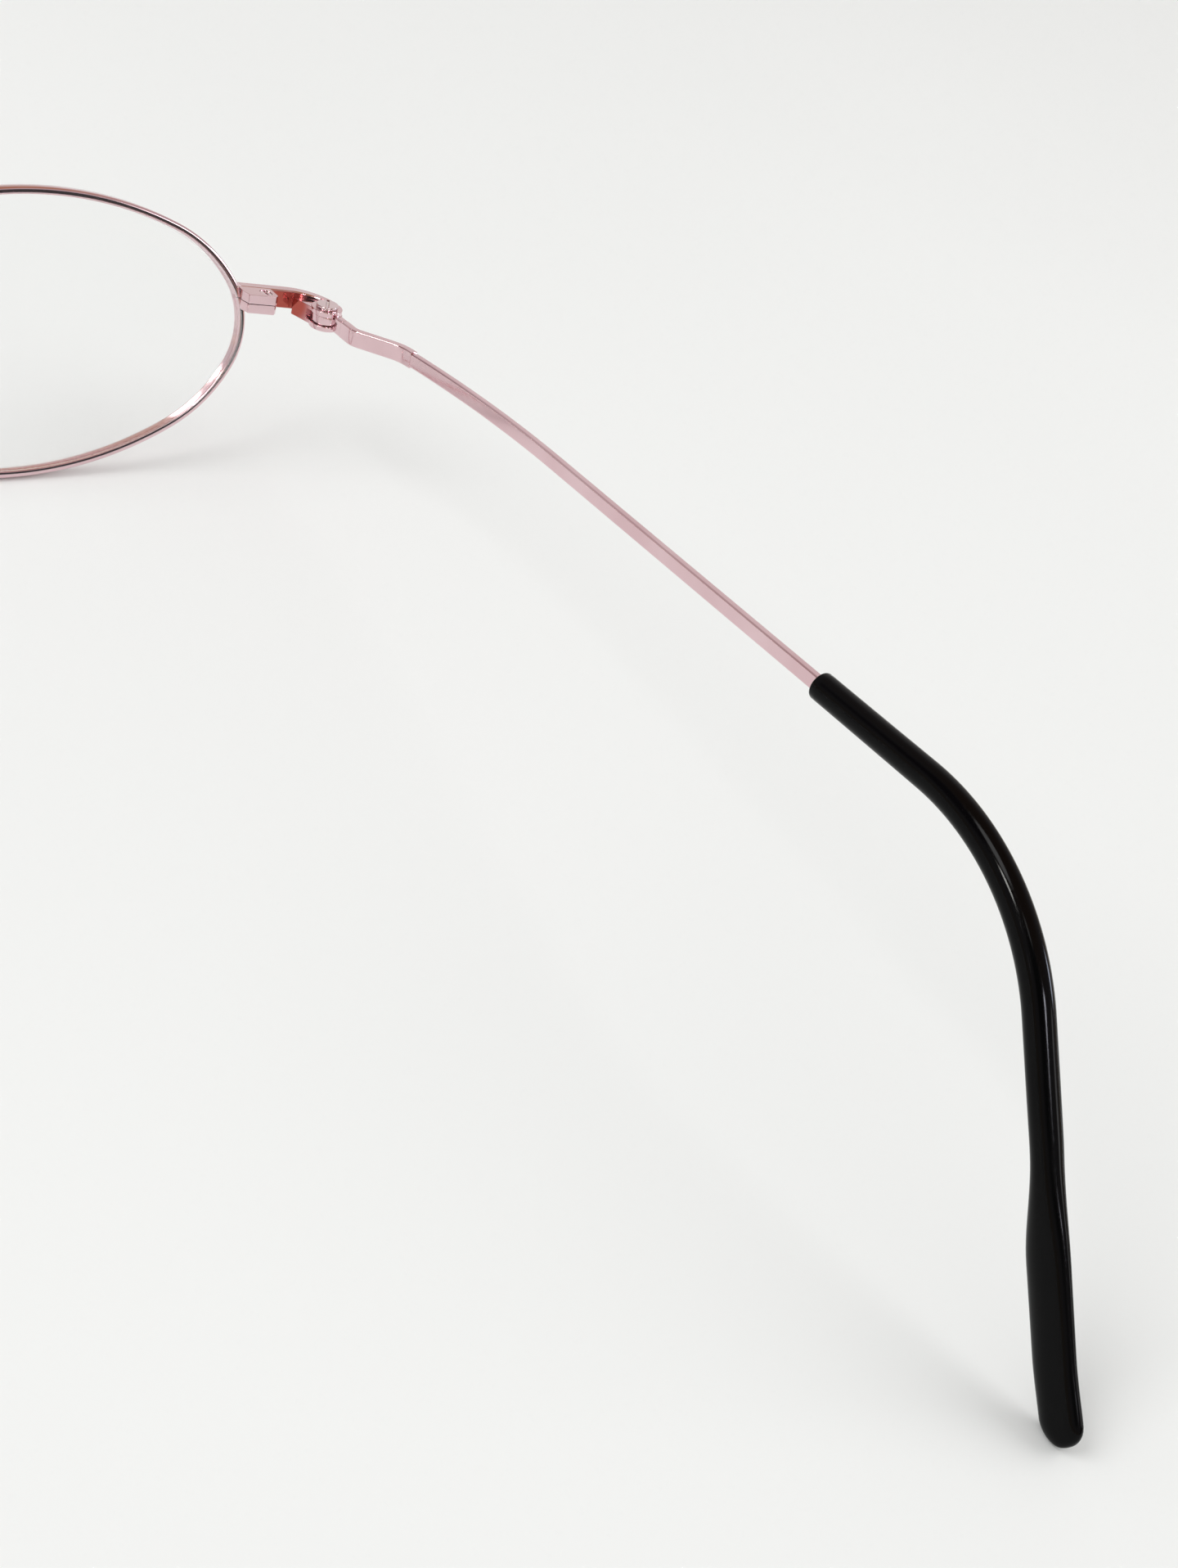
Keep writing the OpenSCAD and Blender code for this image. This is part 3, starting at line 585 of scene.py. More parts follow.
@dataclass(frozen=True)
class Front:
    """Where the rims stand: their distance apart, their turn round the face and their lean."""

    oval: Oval = Oval()
    lens_gap: float = 20
    wrap_deg: float = 4
    lean_deg: float = 10
    hinge_up: float = 1.7
    end_reach: float = 7.6
    end_back: float = 2.75
    end_slope_deg: float = 6.8
    end_level: float = 2.35

    @property
    def rim_x(self) -> float:
        """The middle of a rim."""
        return self.lens_gap / 2 + self.oval.lens_w / 2

    @property
    def end_fall(self) -> float:
        """How far the end piece falls for each millimetre outwards."""
        return math.tan(math.radians(self.end_slope_deg))

    @cached_property
    def hinge(self) -> Vector:
        """Finds the left hinge pin.

        Returns:
            Its middle in the wearing position.
        """
        outside = self.oval.half_w + self.oval.wire / 2
        back = self.end_back + outside * math.tan(math.radians(self.wrap_deg))
        return Vector((self.rim_x + outside + self.end_reach, back, self.hinge_up))

    def over_split(self, point: Vector) -> float:
        """Gives a left point's height over the plane that splits the closing block."""
        return point.z - self.hinge_up - (self.hinge.x + self.end_level - point.x) * self.end_fall

    def lean(self, point: Vector) -> Vector:
        """Leans a point of the upright front into the wearing position."""
        return Matrix.Rotation(math.radians(self.lean_deg), 3, "X") @ point

    def at_rim(self, out: float, back: float, up: float) -> Vector:
        """Gives the wearing position of a point of a rim's own upright frame."""
        wrapped = Matrix.Rotation(math.radians(self.wrap_deg), 3, "Z") @ Vector((out, back, up))
        return self.lean(wrapped + Vector((self.rim_x, 0, 0)))


@dataclass(frozen=True)
class RimAndLens:
    """One rim of grooved wire, slit at its outer end, and the bevelled lens that it holds."""

    stance: Stance
    front: Front
    side: Side
    wire_depth: float = 1.2
    groove_w: float = 0.8
    outer_round: float = 0.26
    inner_round: float = 0.14
    lip_round: float = 0.03
    groove_round: float = 0.06
    slit: float = 0.06
    beside_slit_deg: float = 4
    ring_step: float = 0.45
    lens_step: float = 0.8
    lens_t: float = 1.7
    front_r: float = 350
    back_r: float = 330
    front_stand: float = 0.3
    lens_round: float = 0.12
    face_rings: int = 8
    first_ring: float = 0.02
    last_ring: float = 0.97

    def wire_section(self) -> Outline:
        """Rounds the wire's section.

        Returns:
            Its outline, outwards and backwards.
        """
        w, d, g = self.front.oval.wire / 2, self.wire_depth / 2, self.groove_w / 2
        corners = [(-w, d), (-w, g), (-w + self.front.oval.groove, 0), (-w, -g), (-w, -d), (w, -d), (w, d)]
        inner, outer, lip = self.inner_round, self.outer_round, self.lip_round
        return filleted(corners, [inner, lip, self.groove_round, lip, inner, outer, outer])

    def rim(self) -> Piece:
        """Builds the rim, from one lip of its slit round to the other.

        Returns:
            The rim.
        """
        oval, section = self.front.oval, self.wire_section()
        start = self.slit_at()
        turns = [a for a in oval.facing(self.ring_step) if abs(a - start) > self.beside_slit_deg]
        angles = [start, *(a for a in turns if a > start)]
        angles += [*(a + 360 for a in turns if a < start), start + 360]
        rings = []
        for deg in angles:
            ring = [(*oval.at(deg, out), back) for out, back in section]
            rings.append([self.front.at_rim(x, back, z) for x, z, back in ring])
        along = self.front.at_rim(*self.upright(start, 1)) - self.front.at_rim(*self.upright(start, 0))
        climb = along.z + along.x * self.front.end_fall
        for k, height in ((0, self.slit / 2), (-1, -self.slit / 2)):
            rings[k] = [p + along * ((height - self.front.over_split(p)) / climb) for p in rings[k]]
        node = f"{self.side.word}_rim"
        wire = skin(f"{node}_wire", self.stance.place_rings(rings, self.side))
        return Piece(wire, "front", Slot.METAL, node)

    def upright(self, deg: float, run: float) -> tuple[float, float, float]:
        """Gives a point of the wire's tangent at a facing angle, as at_rim takes it."""
        (x, z), a = self.front.oval.at(deg), math.radians(deg)
        return x - run * math.sin(a), 0.0, z + run * math.cos(a)

    def slit_at(self) -> float:
        """Finds the facing angle at which the wire's middle line is level with the slit.

        Returns:
            The angle in degrees.
        """
        low, high = 0.0, self.front.oval.end_deg
        halvings = 30
        for _ in range(halvings):
            middle = (low + high) / 2
            if self.front.over_split(self.front.at_rim(*self.upright(middle, 0))) < 0:
                low = middle
            else:
                high = middle
        return low

    def lens(self) -> Piece:
        """Builds the lens, ring by ring over its front, its bevel and its back.

        Returns:
            The lens.
        """
        oval = self.front.oval
        edge = -oval.wire / 2 - oval.fit
        bevel_w = self.groove_w / 2 - 2 * oval.fit
        front_y = -(self.lens_t / 2 + self.front_stand)
        angles = oval.facing(self.lens_step)
        between = [k / self.face_rings for k in range(1, self.face_rings)]
        shares = [self.first_ring, *between, self.last_ring]

        def face(share: float, r: float, y0: float, out: float = edge) -> Ring:
            """Gives a ring on a face of radius r with its middle at y0, at a share of its size."""
            points = [(x * share, z * share) for x, z in (oval.at(a, out) for a in angles)]
            return [Vector((x, y0 + r - math.sqrt(r * r - x * x - z * z), z)) for x, z in points]

        def band(out: float, y: float) -> Ring:
            """Gives a flat ring at y, so far outside the wire's middle line."""
            return [Vector((x, y, z)) for x, z in (oval.at(a, out) for a in angles)]

        back_y = front_y + self.lens_t
        turned_in = edge - self.lens_round
        front_rim = [p + Vector((0, self.lens_round, 0)) for p in face(1, self.front_r, front_y)]
        back_rim = [p - Vector((0, self.lens_round, 0)) for p in face(1, self.back_r, back_y)]
        rings = [face(s, self.front_r, front_y) for s in shares]
        rings += [face(1, self.front_r, front_y, turned_in), front_rim, band(edge, -bevel_w)]
        rings += [band(edge + oval.groove - oval.fit, 0), band(edge, bevel_w), back_rim]
        rings += [face(1, self.back_r, back_y, turned_in)]
        rings += [face(s, self.back_r, back_y) for s in reversed(shares)]
        leant = [[self.front.at_rim(*p) for p in ring] for ring in rings]
        node = f"{self.side.word}_lens"
        clear = skin(f"{node}_clear", self.stance.place_rings(leant, self.side), sharp_deg=24)
        return Piece(clear, "front", Slot.LENS, node)


@dataclass(frozen=True)
class Bridge:
    """The bridge bar, an arch that widens into its solder at both rims."""

    stance: Stance
    front: Front
    height: float = 1.9
    depth: float = 1.3
    up: float = 4.4
    rise: float = 2.6
    corner: float = 0.45
    flare: float = 0.5
    flare_back: float = 0.3
    flare_l: float = 2.2
    steps: int = 72

    def build(self) -> Piece:
        """Builds the bar as one sweep from rim to rim.

        Returns:
            The bridge.
        """
        oval = self.front.oval
        end_x = self.front.rim_x - math.sqrt(1 - (self.up / oval.half_h) ** 2) * oval.half_w
        radius = (end_x**2 + self.rise**2) / (2 * self.rise)
        half = math.asin(end_x / radius)
        back = -oval.half_w * math.sin(math.radians(self.front.wrap_deg))
        rings = []
        for k in range(self.steps + 1):
            a = half * (2 * k / self.steps - 1)
            to_end = (half - abs(a)) * radius
            grown = self.flare * (1 - ease(to_end, 0, self.flare_l)) ** 2
            section = rounded_box(self.height + grown, self.depth + grown * self.flare_back, self.corner)
            ring = []
            for out, y in section:
                r = radius + out
                place = Vector((r * math.sin(a), back + y, self.up + self.rise - radius + r * math.cos(a)))
                ring.append(self.front.lean(place))
            rings.append(ring)
        return Piece(skin("bridge_bar", self.stance.place_rings(rings)), "front", Slot.METAL, "bridge")


@dataclass(frozen=True)
class NosePad:
    """One soft nose pad with its metal arm, box and screw.

    Power and within shape its outline, across first: an ellipse has the power 1 and stays within 1.
    """

    stance: Stance
    side: Side
    middle: tuple[float, float, float] = (6.9, 6.8, -5.8)
    lean_deg: float = 22
    turn_deg: float = 24
    length: float = 11.5
    width: float = 6.4
    thickness: float = 2.2
    power: Span = (0.9, 0.94)
    within: Span = (0.98, 0.99)
    narrowing: float = 0.10
    edge_power: float = 0.55
    hollow: float = 0.16
    face_end: float = 0.02
    face_rings: int = 18
    ring_points: int = 56
    tab_w: float = 1.2
    tab_h: float = 1.7
    tab_reach: float = 2.0
    tab_inset: float = 0.1
    tab_root_share: float = 0.2
    tab_steps: int = 12

    @property
    def node(self) -> str:
        """The pad's node, which is also its body."""
        return f"{self.side.word}_nose_pad"

    def to_wear(self, point: Vector) -> Vector:
        """Gives the wearing position of a point with X away from the nose, Y back and Z up the pad."""
        lean, turn = math.radians(-self.lean_deg), math.radians(-self.turn_deg)
        return Matrix.Rotation(lean, 3, "Y") @ Matrix.Rotation(turn, 3, "Z") @ point + Vector(self.middle)

    def outline(self, a: float, share: float) -> tuple[float, float]:
        """Gives a point of the pad's drop-shaped outline.

        Args:
            a: Direction round the outline, in radians.
            share: Share of the full size.

        Returns:
            Backwards and upwards from the pad's middle.
        """
        s, c = math.sin(a), math.cos(a)
        across = math.copysign(abs(c) ** self.power[0], c) * self.width / 2 * (1 - self.narrowing * s)
        along = math.copysign(abs(s) ** self.power[1], s) * self.length / 2
        return across * share * self.within[0], along * share * self.within[1]

    def pad(self) -> Piece:
        """Builds the silicone pad: two crowned faces with a round edge.

        Returns:
            The pad without its tab.
        """
        rings = []
        for k in range(self.face_rings + 1):
            t = math.pi * (self.face_end + (1 - 2 * self.face_end) * k / self.face_rings)
            share = math.sin(t) ** self.edge_power
            x = -math.cos(t) * self.thickness / 2 + self.hollow * math.cos(t) * (1 - share) ** 2
            around = (self.outline(math.tau * i / self.ring_points, share) for i in range(self.ring_points))
            rings.append([self.to_wear(Vector((x, y, z))) for y, z in around])
        shape = skin(f"{self.node}_silicone", self.stance.place_rings(rings, self.side), sharp_deg=80)
        return Piece(shape, self.node, Slot.NOSE_PAD, self.node)

    def tab(self) -> Piece:
        """Builds the pad's tab, which sits in the box and turns on its screw.

        Returns:
            The tab.
        """
        h, root, inset = self.tab_h / 2, self.thickness * self.tab_root_share, self.tab_inset
        outline = [(root, -h), (self.tab_reach, -h)]
        outline += [(self.tab_reach + h * math.sin(a), -h * math.cos(a))
                    for a in (math.pi * k / self.tab_steps for k in range(1, self.tab_steps))]
        outline += [(self.tab_reach, h), (root, h)]
        middle = Vector((self.tab_reach, 0))
        shoulder = 1 - 2 * inset / self.tab_w
        rings = []
        for y, cut in ((-1, inset), (-shoulder, 0), (shoulder, 0), (1, inset)):
            inner = [middle + (Vector(p) - middle) * (1 - cut / h) for p in outline]
            rings.append([self.to_wear(Vector((q.x, y * self.tab_w / 2, q.y))) for q in inner])
        shape = skin(f"{self.node}_tab", self.stance.place_rings(rings, self.side))
        return Piece(shape, self.node, Slot.NOSE_PAD, self.node)

    def fittings(self) -> list[Piece]:
        """Dresses the arm, the box and the screw.

        Returns:
            The three pieces.
        """
        rows = [
            ("pad_arm", "pad_wire", 0.06, Slot.METAL),
            ("pad_box", "pad_channel", 0.1, Slot.METAL),
            ("pad_screw", "pad_slotted_screw", 0.05, Slot.SCREW),
        ]
        return [machined(self.side, "front", row) for row in rows]


@dataclass(frozen=True)
class EndPiece:
    """The closing block, the strip in front of it and the front half of the hinge."""

    stance: Stance
    side: Side
    hinge: Vector
    block_edge: float = 0.2
    strip_edge: float = 0.05
    hinge_edge: float = 0.12
    screw_edge: float = 0.07
    slot_turn_deg: float = 35.6

    def build(self) -> list[Piece]:
        """Dresses every machined piece of the end piece, and turns the hinge screw's slot.

        Returns:
            The six pieces.
        """
        rows = [
            ("block_upper", "closing_block_top", self.block_edge, Slot.METAL),
            ("block_lower", "closing_block_foot", self.block_edge, Slot.METAL),
            ("closing_screw", "closing_slotted_screw", self.screw_edge, Slot.SCREW),
            ("end_piece", "end_strip", self.strip_edge, Slot.METAL),
            ("front_hinge", "hinge_lugs", self.hinge_edge, Slot.METAL),
            ("hinge_screw", "hinge_slotted_screw", self.screw_edge, Slot.SCREW),
        ]
        pieces = [machined(self.side, "front", row) for row in rows]
        pin = self.stance.place(self.hinge, self.side)
        above = self.stance.place(self.hinge + Vector((0, 0, 1)), self.side) - pin
        spin = Matrix.Rotation(math.radians(self.slot_turn_deg * self.side.value), 4, above)
        pieces[-1].shape.data.transform(Matrix.Translation(pin) @ spin @ Matrix.Translation(-pin))
        return pieces


class PlanPath:
    """A path of straights and bends seen from above, as places and headings from +Y towards +X."""

    def __init__(self, x: float, y: float, heading: float) -> None:
        """Starts the path at a place, with its first heading in degrees."""
        self.places: list[tuple[float, float, float]] = [(x, y, heading)]

    def straight(self, length: float, steps: int = 1) -> "PlanPath":
        """Goes straight on.

        Args:
            length: How far.
            steps: Places on the way.

        Returns:
            The path itself.
        """
        for _ in range(steps):
            x, y, h = self.places[-1]
            a = math.radians(h)
            self.places.append((x + length / steps * math.sin(a), y + length / steps * math.cos(a), h))
        return self

    def bend(self, deg: float, radius: float, step_deg: float = 1.5) -> "PlanPath":
        """Goes round a bend.

        Args:
            deg: The turn, outwards if positive.
            radius: The bend's radius.
            step_deg: Turn from place to place.

        Returns:
            The path itself.
        """
        steps = max(2, math.ceil(abs(deg) / step_deg))
        k = math.copysign(radius, deg)
        for _ in range(steps):
            x, y, h = self.places[-1]
            after = h + deg / steps
            a, b = math.radians(h), math.radians(after)
            x += k * (math.cos(a) - math.cos(b))
            y += k * (math.sin(b) - math.sin(a))
            self.places.append((x, y, after))
        return self


@dataclass(frozen=True)
class Temple:
    """One temple: hinge half, stepped plate, long thin bar and the black sleeve over its end.

    A span named over gives lengths from the paddle's start, less than 0 towards the mouth. The bore's
    rings are given by their lengths from the mouth, and the mouth's by their lengths and shares.
    """

    stance: Stance
    side: Side
    hinge: Vector
    foot_l: float = 3.0
    plate_out: float = 0.25
    plate_h: float = 1.65
    plate_t: float = 0.85
    plate_round: float = 0.13
    lead: float = 1.3
    slant_deg: float = 37
    slant: float = 3.5
    out_r: float = 1.6
    back_r: float = 4
    plate_tail: float = 0.6
    flare_deg: float = 9
    bow_r: float = 113
    toe_in: float = 2.5
    bar_h: float = 1.4
    bar_t: float = 0.78
    bar_round: float = 0.18
    knuckle_edge: float = 0.08
    length: float = 141
    bend_at: float = 86
    sleeve_l: float = 68.5
    bend_deg: float = 56
    bend_r: float = 22.3
    bend_lean: float = 5.5
    sleeve_d: float = 2.55
    sleeve_swell: float = 0.08
    paddle_w: float = 4.1
    paddle_t: float = 1.9
    paddle_l: float = 18
    paddle_drop: float = 0.5
    drop_left: float = 0.25
    wide_over: Span = (-4.5, 4)
    thin_over: Span = (-10, 12)
    drop_over: Span = (-6, 4)
    rise_from: float = 11
    core_h: float = 0.9
    core_t: float = 0.66
    core_round: float = 0.14
    core_from: float = 0.05
    bore_r: float = 0.6
    shown_core: float = 2.5
    ring_points: int = 44
    bore_at: tuple[float, ...] = (3.0, 1.0, 0.12)
    mouth_at: tuple[Span, ...] = ((0, 0.62), (0, 0.80), (0, 0.92), (0.06, 0.975), (0.16, 1))
    end_l: float = 3
    least_end_h: float = 0.12
    least_end_t: float = 0.3
    side_rings: int = 96
    end_rings: int = 12

    @property
    def body(self) -> str:
        """The body that the temple's pieces ride on."""
        return f"{self.side.word}_temple"

    @cached_property
    def plate_path(self) -> PlanPath:
        """Lays out the plate, from the hinge's shoulder to its step.

        Returns:
            The plate's path.
        """
        path = PlanPath(self.hinge.x + self.plate_out, self.hinge.y + self.foot_l, 0)
        path.straight(self.lead).bend(self.slant_deg, self.out_r).straight(self.slant)
        path.bend(self.flare_deg - self.slant_deg, self.back_r)
        return path.bend(-math.degrees(self.plate_tail / self.bow_r), self.bow_r)

    @cached_property
    def bar_path(self) -> PlanPath:
        """Lays out the bar, from the step to the sleeve's mouth.

        Returns:
            The bar's path.
        """
        left = self.flare_deg + self.toe_in - math.degrees(self.plate_tail / self.bow_r)
        used = self.foot_l + self.lead + math.radians(self.slant_deg) * self.out_r + self.slant
        used += math.radians(self.slant_deg - self.flare_deg) * self.back_r + self.plate_tail
        path = PlanPath(*self.plate_path.places[-1])
        path.bend(-left, self.bow_r, step_deg=0.5)
        return path.straight(self.length - self.sleeve_l - used - math.radians(left) * self.bow_r, steps=8)

    def along(self, path: PlanPath, width: float, height: float, corner: float) -> list[Ring]:
        """Sets a strip's section along a path.

        Args:
            path: Where the strip runs.
            width: The strip's thickness.
            height: The strip's height.
            corner: The radius of its edges.

        Returns:
            Rings in the wearing position.
        """
        section = rounded_box(width, height, corner)
        rings = []
        for x, y, h in path.places:
            out, back = math.cos(math.radians(h)), math.sin(math.radians(h))
            rings.append([Vector((x + q * out, y - q * back, self.hinge.z + z)) for q, z in section])
        return rings

    @property
    def neck(self) -> float:
        """The sleeve's straight length before the ear bend."""
        return self.bend_at - (self.length - self.sleeve_l)

    def across_tip(self, s: float, section: Outline) -> Ring:
        """Sets a section square to the sleeve's middle line.

        Args:
            s: Length from the sleeve's mouth.
            section: The section, outwards and upwards.

        Returns:
            A ring in the wearing position.
        """
        arc = math.radians(self.bend_deg) * self.bend_r
        a = max(0.0, min(arc, s - self.neck)) / self.bend_r
        rest = max(0.0, s - self.neck - arc)
        run = min(s, self.neck) + self.bend_r * math.sin(a) + rest * math.cos(a)
        drop = self.bend_r * (1 - math.cos(a)) + rest * math.sin(a)
        x, y, heading = self.bar_path.places[-1]
        lean = Matrix.Rotation(math.radians(self.bend_lean), 3, "Y")
        turn = Matrix.Rotation(-math.radians(heading), 3, "Z")
        mouth = Vector((x, y, self.hinge.z))
        points = [Vector((q, run + z * math.sin(a), -drop + z * math.cos(a))) for q, z in section]
        return [turn @ (lean @ p) + mouth for p in points]

    def round_ring(self, s: float, half_t: float, half_h: float, up: float = 0.0) -> Ring:
        """Gives a round or oval ring at a length from the mouth, shifted upwards."""
        turns = (math.tau * i / self.ring_points for i in range(self.ring_points))
        return self.across_tip(s, [(half_t * math.cos(a), half_h * math.sin(a) + up) for a in turns])

    def sleeve_ring(self, s: float, share: float = 1.0) -> Ring:
        """Gives the sleeve's outer ring at a length.

        Args:
            s: Length from the mouth.
            share: Share of the full size.

        Returns:
            A ring in the wearing position.
        """
        paddle = self.sleeve_l - self.paddle_l
        half_d, half_w = self.sleeve_d / 2, self.paddle_w / 2
        wide, thin, drop = (ease(s, paddle + span[0], paddle + span[1])
                            for span in (self.wide_over, self.thin_over, self.drop_over))
        close = math.sqrt(max(0.0, 1 - max(0.0, (s - (self.sleeve_l - half_w)) / half_w) ** 2))
        half_h = half_d + ease(s, 0, 2 * self.neck) * self.sleeve_swell
        half_h = (half_h + wide * (half_w - half_d - self.sleeve_swell)) * max(close, self.least_end_h)
        half_t = (half_d - thin * (self.sleeve_d - self.paddle_t) / 2) * max(close**0.5, self.least_end_t)
        risen = (1 - self.drop_left) * ease(s, paddle + self.rise_from, self.sleeve_l)
        return self.round_ring(s, half_t * share, half_h * share, -self.paddle_drop * drop * (1 - risen))

    def tip(self) -> Piece:
        """Builds the black sleeve, from inside its bore round the mouth's lip to the paddle's end.

        Returns:
            The sleeve.
        """
        rings = [self.round_ring(s, self.bore_r, self.bore_r) for s in self.bore_at]
        rings += [self.sleeve_ring(s, share) for s, share in self.mouth_at]
        lip = self.mouth_at[-1][0]
        run = self.sleeve_l - self.end_l - lip
        for k in range(1, self.side_rings + 1):
            rings.append(self.sleeve_ring(lip + run * k / self.side_rings))
        for k in range(1, self.end_rings + 1):
            left = self.end_l * (1 - math.sin(math.pi / 2 * k / self.end_rings))
            rings.append(self.sleeve_ring(self.sleeve_l - left))
        placed = self.stance.place_rings(rings, self.side)
        shape = skin(f"{self.side.word}_ear_sleeve", placed, sharp_deg=70)
        return Piece(shape, self.body, Slot.EAR_TIP, f"{self.body}_tip")

    def metal(self) -> list[Piece]:
        """Builds the plate and the bar and dresses the hinge half.

        Returns:
            The three pieces.
        """
        plate = self.along(self.plate_path, self.plate_t, self.plate_h, self.plate_round)
        bar = self.along(self.bar_path, self.bar_t, self.bar_h, self.bar_round)
        core = rounded_box(self.core_t, self.core_h, self.core_round)
        bar += [self.across_tip(s, core) for s in (self.core_from, self.shown_core)]
        pieces = []
        for name, rings, node in (("stepped_plate", plate, "plate"), ("long_bar", bar, "bar")):
            shape = skin(f"{self.side.word}_{name}", self.stance.place_rings(rings, self.side))
            pieces.append(Piece(shape, self.body, Slot.METAL, f"{self.body}_{node}"))
        knuckle = ("temple_hinge", "hinge_knuckle", self.knuckle_edge, Slot.METAL)
        return [*pieces, machined(self.side, self.body, knuckle)]


@dataclass(frozen=True)
class Viewpoint:
    """The photograph's camera: where it stands round its target, its roll and its focal length."""

    azimuth: float = 128.2
    elevation: float = 38.58
    roll: float = 24.9
    distance: float = 234.1
    target: tuple[float, float, float] = (-76.18, 50.0, -8.8)
    focal_px: float = 2882
    image_h: int = 1916
    sensor_mm: float = 36
    seen_m: Span = (0.01, 20)

    def make(self, shift_y: float) -> None:
        """Makes the camera.

        Args:
            shift_y: How far the frame's origin lies behind the wearing position's, in millimetres.
        """
        a, e, roll = (math.radians(v) for v in (self.azimuth, self.elevation, self.roll))
        back = Vector((math.sin(a) * math.cos(e), -math.cos(a) * math.cos(e), math.sin(e)))
        right = (-back).cross(Vector((0, 0, 1))).normalized()
        up = right.cross(-back)
        c, s = math.cos(roll), math.sin(roll)
        axes = [right * c + up * s, up * c - right * s, back]
        data = bpy.data.cameras.new("photo_camera")
        data.sensor_width = self.sensor_mm
        data.lens = self.sensor_mm * self.focal_px / self.image_h
        data.clip_start, data.clip_end = self.seen_m
        place = (Vector(self.target) - Vector((0, shift_y, 0)) + back * self.distance) * MM
        camera = into_scene("photo_camera", data)
        camera.matrix_world = Matrix.Translation(place) @ Matrix(axes).transposed().to_4x4()
        bpy.context.scene.camera = camera


@dataclass(frozen=True)
class Softbox:
    """One soft lamp that shines at the glasses from a direction, in metres and watts."""

    name: str
    direction: tuple[float, float, float]
    width: float
    power: float
    distance: float = 0.7

    def make(self) -> None:
        """Makes the lamp, which metal doesn't mirror."""
        data = bpy.data.lights.new(self.name, "AREA")
        data.shape = "DISK"
        data.size = self.width
        data.energy = self.power
        lamp = into_scene(self.name, data)
        back = Vector(self.direction).normalized()
        lamp.location = back * self.distance
        lamp.visible_glossy = False
        lamp.rotation_mode = "QUATERNION"
        lamp.rotation_quaternion = back.to_track_quat("Z", "Y")


@dataclass(frozen=True)
class Patch:
    """A soft-edged patch painted into the room that only glossy rays see: a bright one is a painted
    highlight with no lamp behind it, a dark one is painted shade in the reflections.
    """

    name: str
    direction: tuple[float, float, float]
    inner_deg: float
    outer_deg: float
    colour: Colour


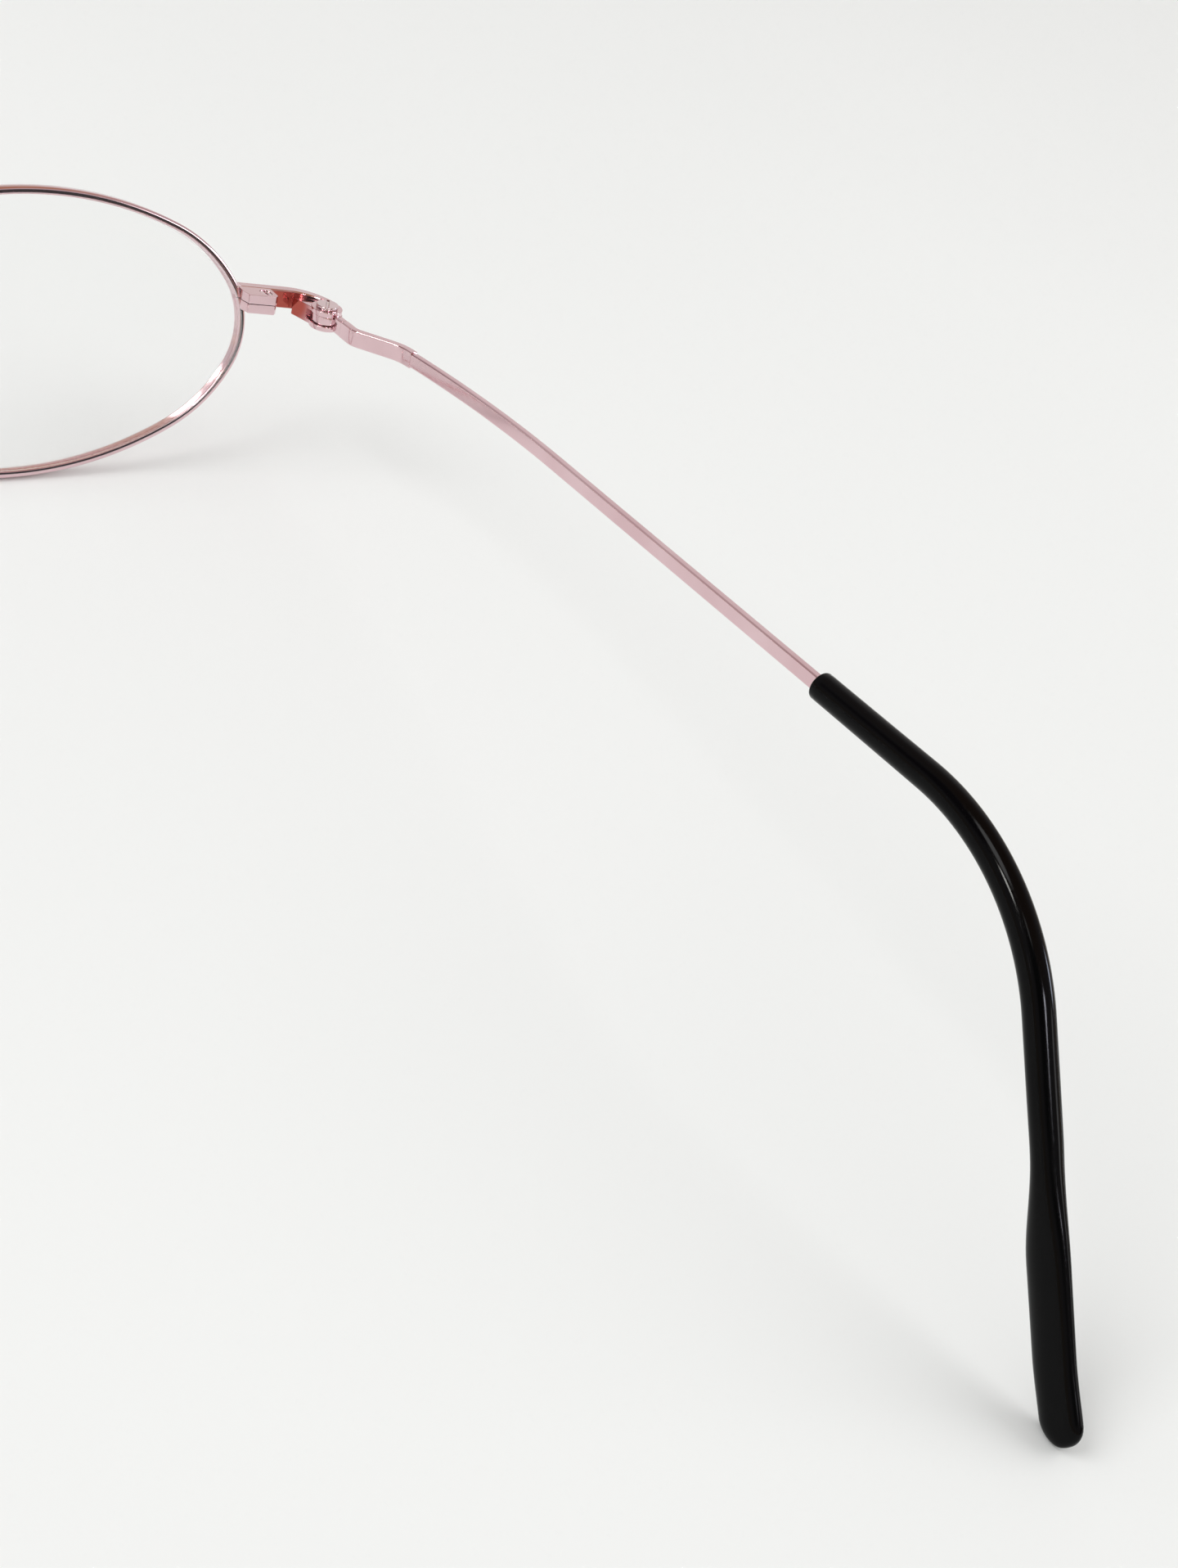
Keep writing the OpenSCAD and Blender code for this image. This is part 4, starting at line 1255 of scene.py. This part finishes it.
@dataclass(frozen=True)
class Studio:
    """The plain pale table, the room round it and the lamps."""

    table_tone: Colour = (0.884, 0.889, 0.882)
    table_cloud: float = 0.975
    table_r: float = 1.6
    table_corners: int = 96
    table_scale: float = 7
    table_span: Span = (0.3, 0.7)
    wall_over: Span = (0.02, 0.22)
    ceiling_over: Span = (0.6, 0.9)
    light: Colour = (0.60, 0.60, 0.59)
    backdrop: Colour = (1.0, 1.0, 1.0)
    # Horizon, wall and ceiling are painted reflections, seen by glossy rays only.
    horizon: Colour = (0.66, 0.50, 0.33)
    wall: Colour = (0.56, 0.51, 0.52)
    ceiling: Colour = (0.46, 0.25, 0.14)
    # Painted reflections for glossy rays only: the bright patches are painted highlights, the dark ones
    # painted shade in the metal.
    patches: tuple[Patch, ...] = (
        Patch("pale_wall", (-0.72, -0.62, 0.32), 14, 28, (0.78, 0.74, 0.72)),
        Patch("far_shade", (-0.36, 0.93, 0.10), 12, 21, (0.05, 0.06, 0.06)),
        Patch("far_window", (-0.57, 0.75, 0.34), 4, 9, (4.5, 4.5, 4.5)),
        Patch("camera_shade", (0.62, 0.50, 0.60), 10, 24, (0.05, 0.05, 0.05)),
        Patch("left_shade", (0.62, -0.48, 0.61), 11, 22, (0.10, 0.05, 0.09)),
        Patch("window", (0.42, -0.12, 0.90), 10, 13, (7.0, 7.0, 7.0)),
        Patch("near_lamp", (0.75, -0.05, 0.66), 3, 5.5, (50.0, 50.0, 48.0)),
        Patch("lamp_two", (0.88, 0.05, 0.47), 0.8, 2, (4.0, 4.0, 4.0)),
        Patch("lamp_three", (0.95, 0.10, 0.28), 0.8, 2, (4.0, 4.0, 4.0)),
        Patch("high_lamp", (0.46, 0.33, 0.84), 3, 6, (3.5, 3.5, 3.5)),
        Patch("side_window", (-0.85, 0.42, 0.30), 4, 8, (14.0, 15.0, 18.0)),
        Patch("back_lamp", (0.19, 0.75, 0.63), 3, 6, (40.0, 40.0, 45.0)),
    )
    lamps: tuple[Softbox, ...] = (
        Softbox("lamp_from_left", (0.84, -0.335, 1), 0.42, 2.1),
        Softbox("lamp_from_right", (-1.22, 0.51, 1), 0.5, 1.35),
    )

    def room_world(self) -> None:
        """Paints the room that gloss mirrors, keeps its light even, and shows white behind the table."""
        world = bpy.data.worlds.new("room")
        world.use_nodes = True
        pen = NodePen(world.node_tree)
        where = pen.add("ShaderNodeTexCoord").outputs["Generated"]
        height = pen.add("ShaderNodeSeparateXYZ", Vector=where).outputs["Z"]
        colour = pen.blend(pen.spread(height, self.wall_over), self.horizon, self.wall)
        colour = pen.blend(pen.spread(height, self.ceiling_over), colour, self.ceiling)
        for patch in self.patches:
            middle = Vector(patch.direction).normalized()
            aim = pen.combine("ShaderNodeVectorMath", "DOT_PRODUCT", where, middle)
            aim.node.label = patch.name
            outer, inner = (math.cos(math.radians(deg)) for deg in (patch.outer_deg, patch.inner_deg))
            colour = pen.blend(pen.spread(aim, (outer, inner), smooth=True), colour, patch.colour)
        path = pen.add("ShaderNodeLightPath").outputs
        # Only glossy rays see the painted room with its painted highlights and shades; other rays get the
        # even light.
        colour = pen.blend(path["Is Glossy Ray"], self.light, colour)
        seen = pen.combine("ShaderNodeMath", "MAXIMUM", path["Is Camera Ray"], path["Is Transmission Ray"])
        shine = pen.add("ShaderNodeBackground", Color=pen.blend(seen, colour, self.backdrop), Strength=1.0)
        pen.add("ShaderNodeOutputWorld", Surface=shine.outputs[0])
        bpy.context.scene.world = world

    def table(self) -> None:
        """Lays the pale table under the glasses."""
        material, pen = new_material("pale_table")
        clouds = pen.spread(pen.noise(pen.object_place(), self.table_scale, 2), self.table_span)
        shade = tuple(c * self.table_cloud for c in self.table_tone)
        pen.surface(Base_Color=pen.blend(clouds, self.table_tone, shade), Roughness=0.5,
                    Specular_IOR_Level=0.15)
        data = bpy.data.meshes.new("table_top")
        turns = (math.tau * k / self.table_corners for k in range(self.table_corners))
        rim = [(self.table_r * math.cos(a), self.table_r * math.sin(a), 0) for a in turns]
        data.from_pydata(rim, [], [tuple(range(self.table_corners))])
        data.materials.append(material)
        into_scene("table_top", data)

    def make(self) -> None:
        """Makes the room, the table and the lamps."""
        self.room_world()
        self.table()
        for lamp in self.lamps:
            lamp.make()
        bpy.context.scene.view_settings.view_transform = "Standard"


class Eyeglasses:
    """The whole pair, sub-assembly by sub-assembly."""

    FINISHES = {
        Slot.METAL: PolishedPlating("rose_plating", (0.77, 0.57, 0.60), (0.72, 0.51, 0.54), (0.06, 0.15)),
        Slot.SCREW: PolishedPlating("screw_plating", (0.80, 0.66, 0.68), (0.73, 0.59, 0.61), (0.08, 0.18)),
        Slot.LENS: ClearLens(),
        Slot.NOSE_PAD: ClearSilicone(),
        Slot.EAR_TIP: BlackSleeve(),
    }
    RECESS_FROM_HINGE = Vector((-3.0, -2.6, 0.4))
    ROUND_RECESS = ("_end_piece", "_front_hinge")

    def __init__(self) -> None:
        """Works out how the frame stands and makes the finishes."""
        self.front = Front()
        self.stance = Stance(self.front.hinge)
        self.materials = {slot: finish.material() for slot, finish in self.FINISHES.items()}
        # A copy of the plating with a painted shade round the recess behind the hinge.
        recess = self.stance.place(self.front.hinge + self.RECESS_FROM_HINGE)
        self.recessed = self.FINISHES[Slot.METAL].material(recess)

    def pieces(self) -> Iterable[Piece]:
        """Builds every piece: the right half, the left half and the bridge.

        Returns:
            The pieces, one after another.
        """
        for side in Side:
            half = RimAndLens(self.stance, self.front, side)
            yield half.rim()
            yield half.lens()
            yield from EndPiece(self.stance, side, self.front.hinge).build()
            pad = NosePad(self.stance, side)
            yield from (pad.pad(), pad.tab(), *pad.fittings())
            temple = Temple(self.stance, side, self.front.hinge)
            yield from (*temple.metal(), temple.tip())
        yield Bridge(self.stance, self.front).build()

    def build(self) -> None:
        """Builds, dresses and mounts every piece."""
        for piece in self.pieces():
            piece.shape.data.materials.clear()
            # The end piece and the hinge lugs get the plating with the painted recess shade.
            in_recess_shade = piece.node.endswith(self.ROUND_RECESS)
            piece.shape.data.materials.append(self.recessed if in_recess_shade else self.materials[piece.slot])
            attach(piece.shape, piece.body)
            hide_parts(piece.node)
            log.info("%s rides on %s for %s", piece.shape.name, piece.body, piece.node)


def main() -> None:
    """Builds the glasses, the table, the light and the camera."""
    logging.basicConfig(level=logging.INFO, format="%(name)s: %(message)s")
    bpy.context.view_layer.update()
    glasses = Eyeglasses()
    hinge_y = (glasses.stance.turn @ glasses.front.hinge).y
    Viewpoint().make(hinge_y - glasses.stance.pin.y / MM)
    glasses.build()
    Studio().make()


if __name__ == "__main__":
    main()
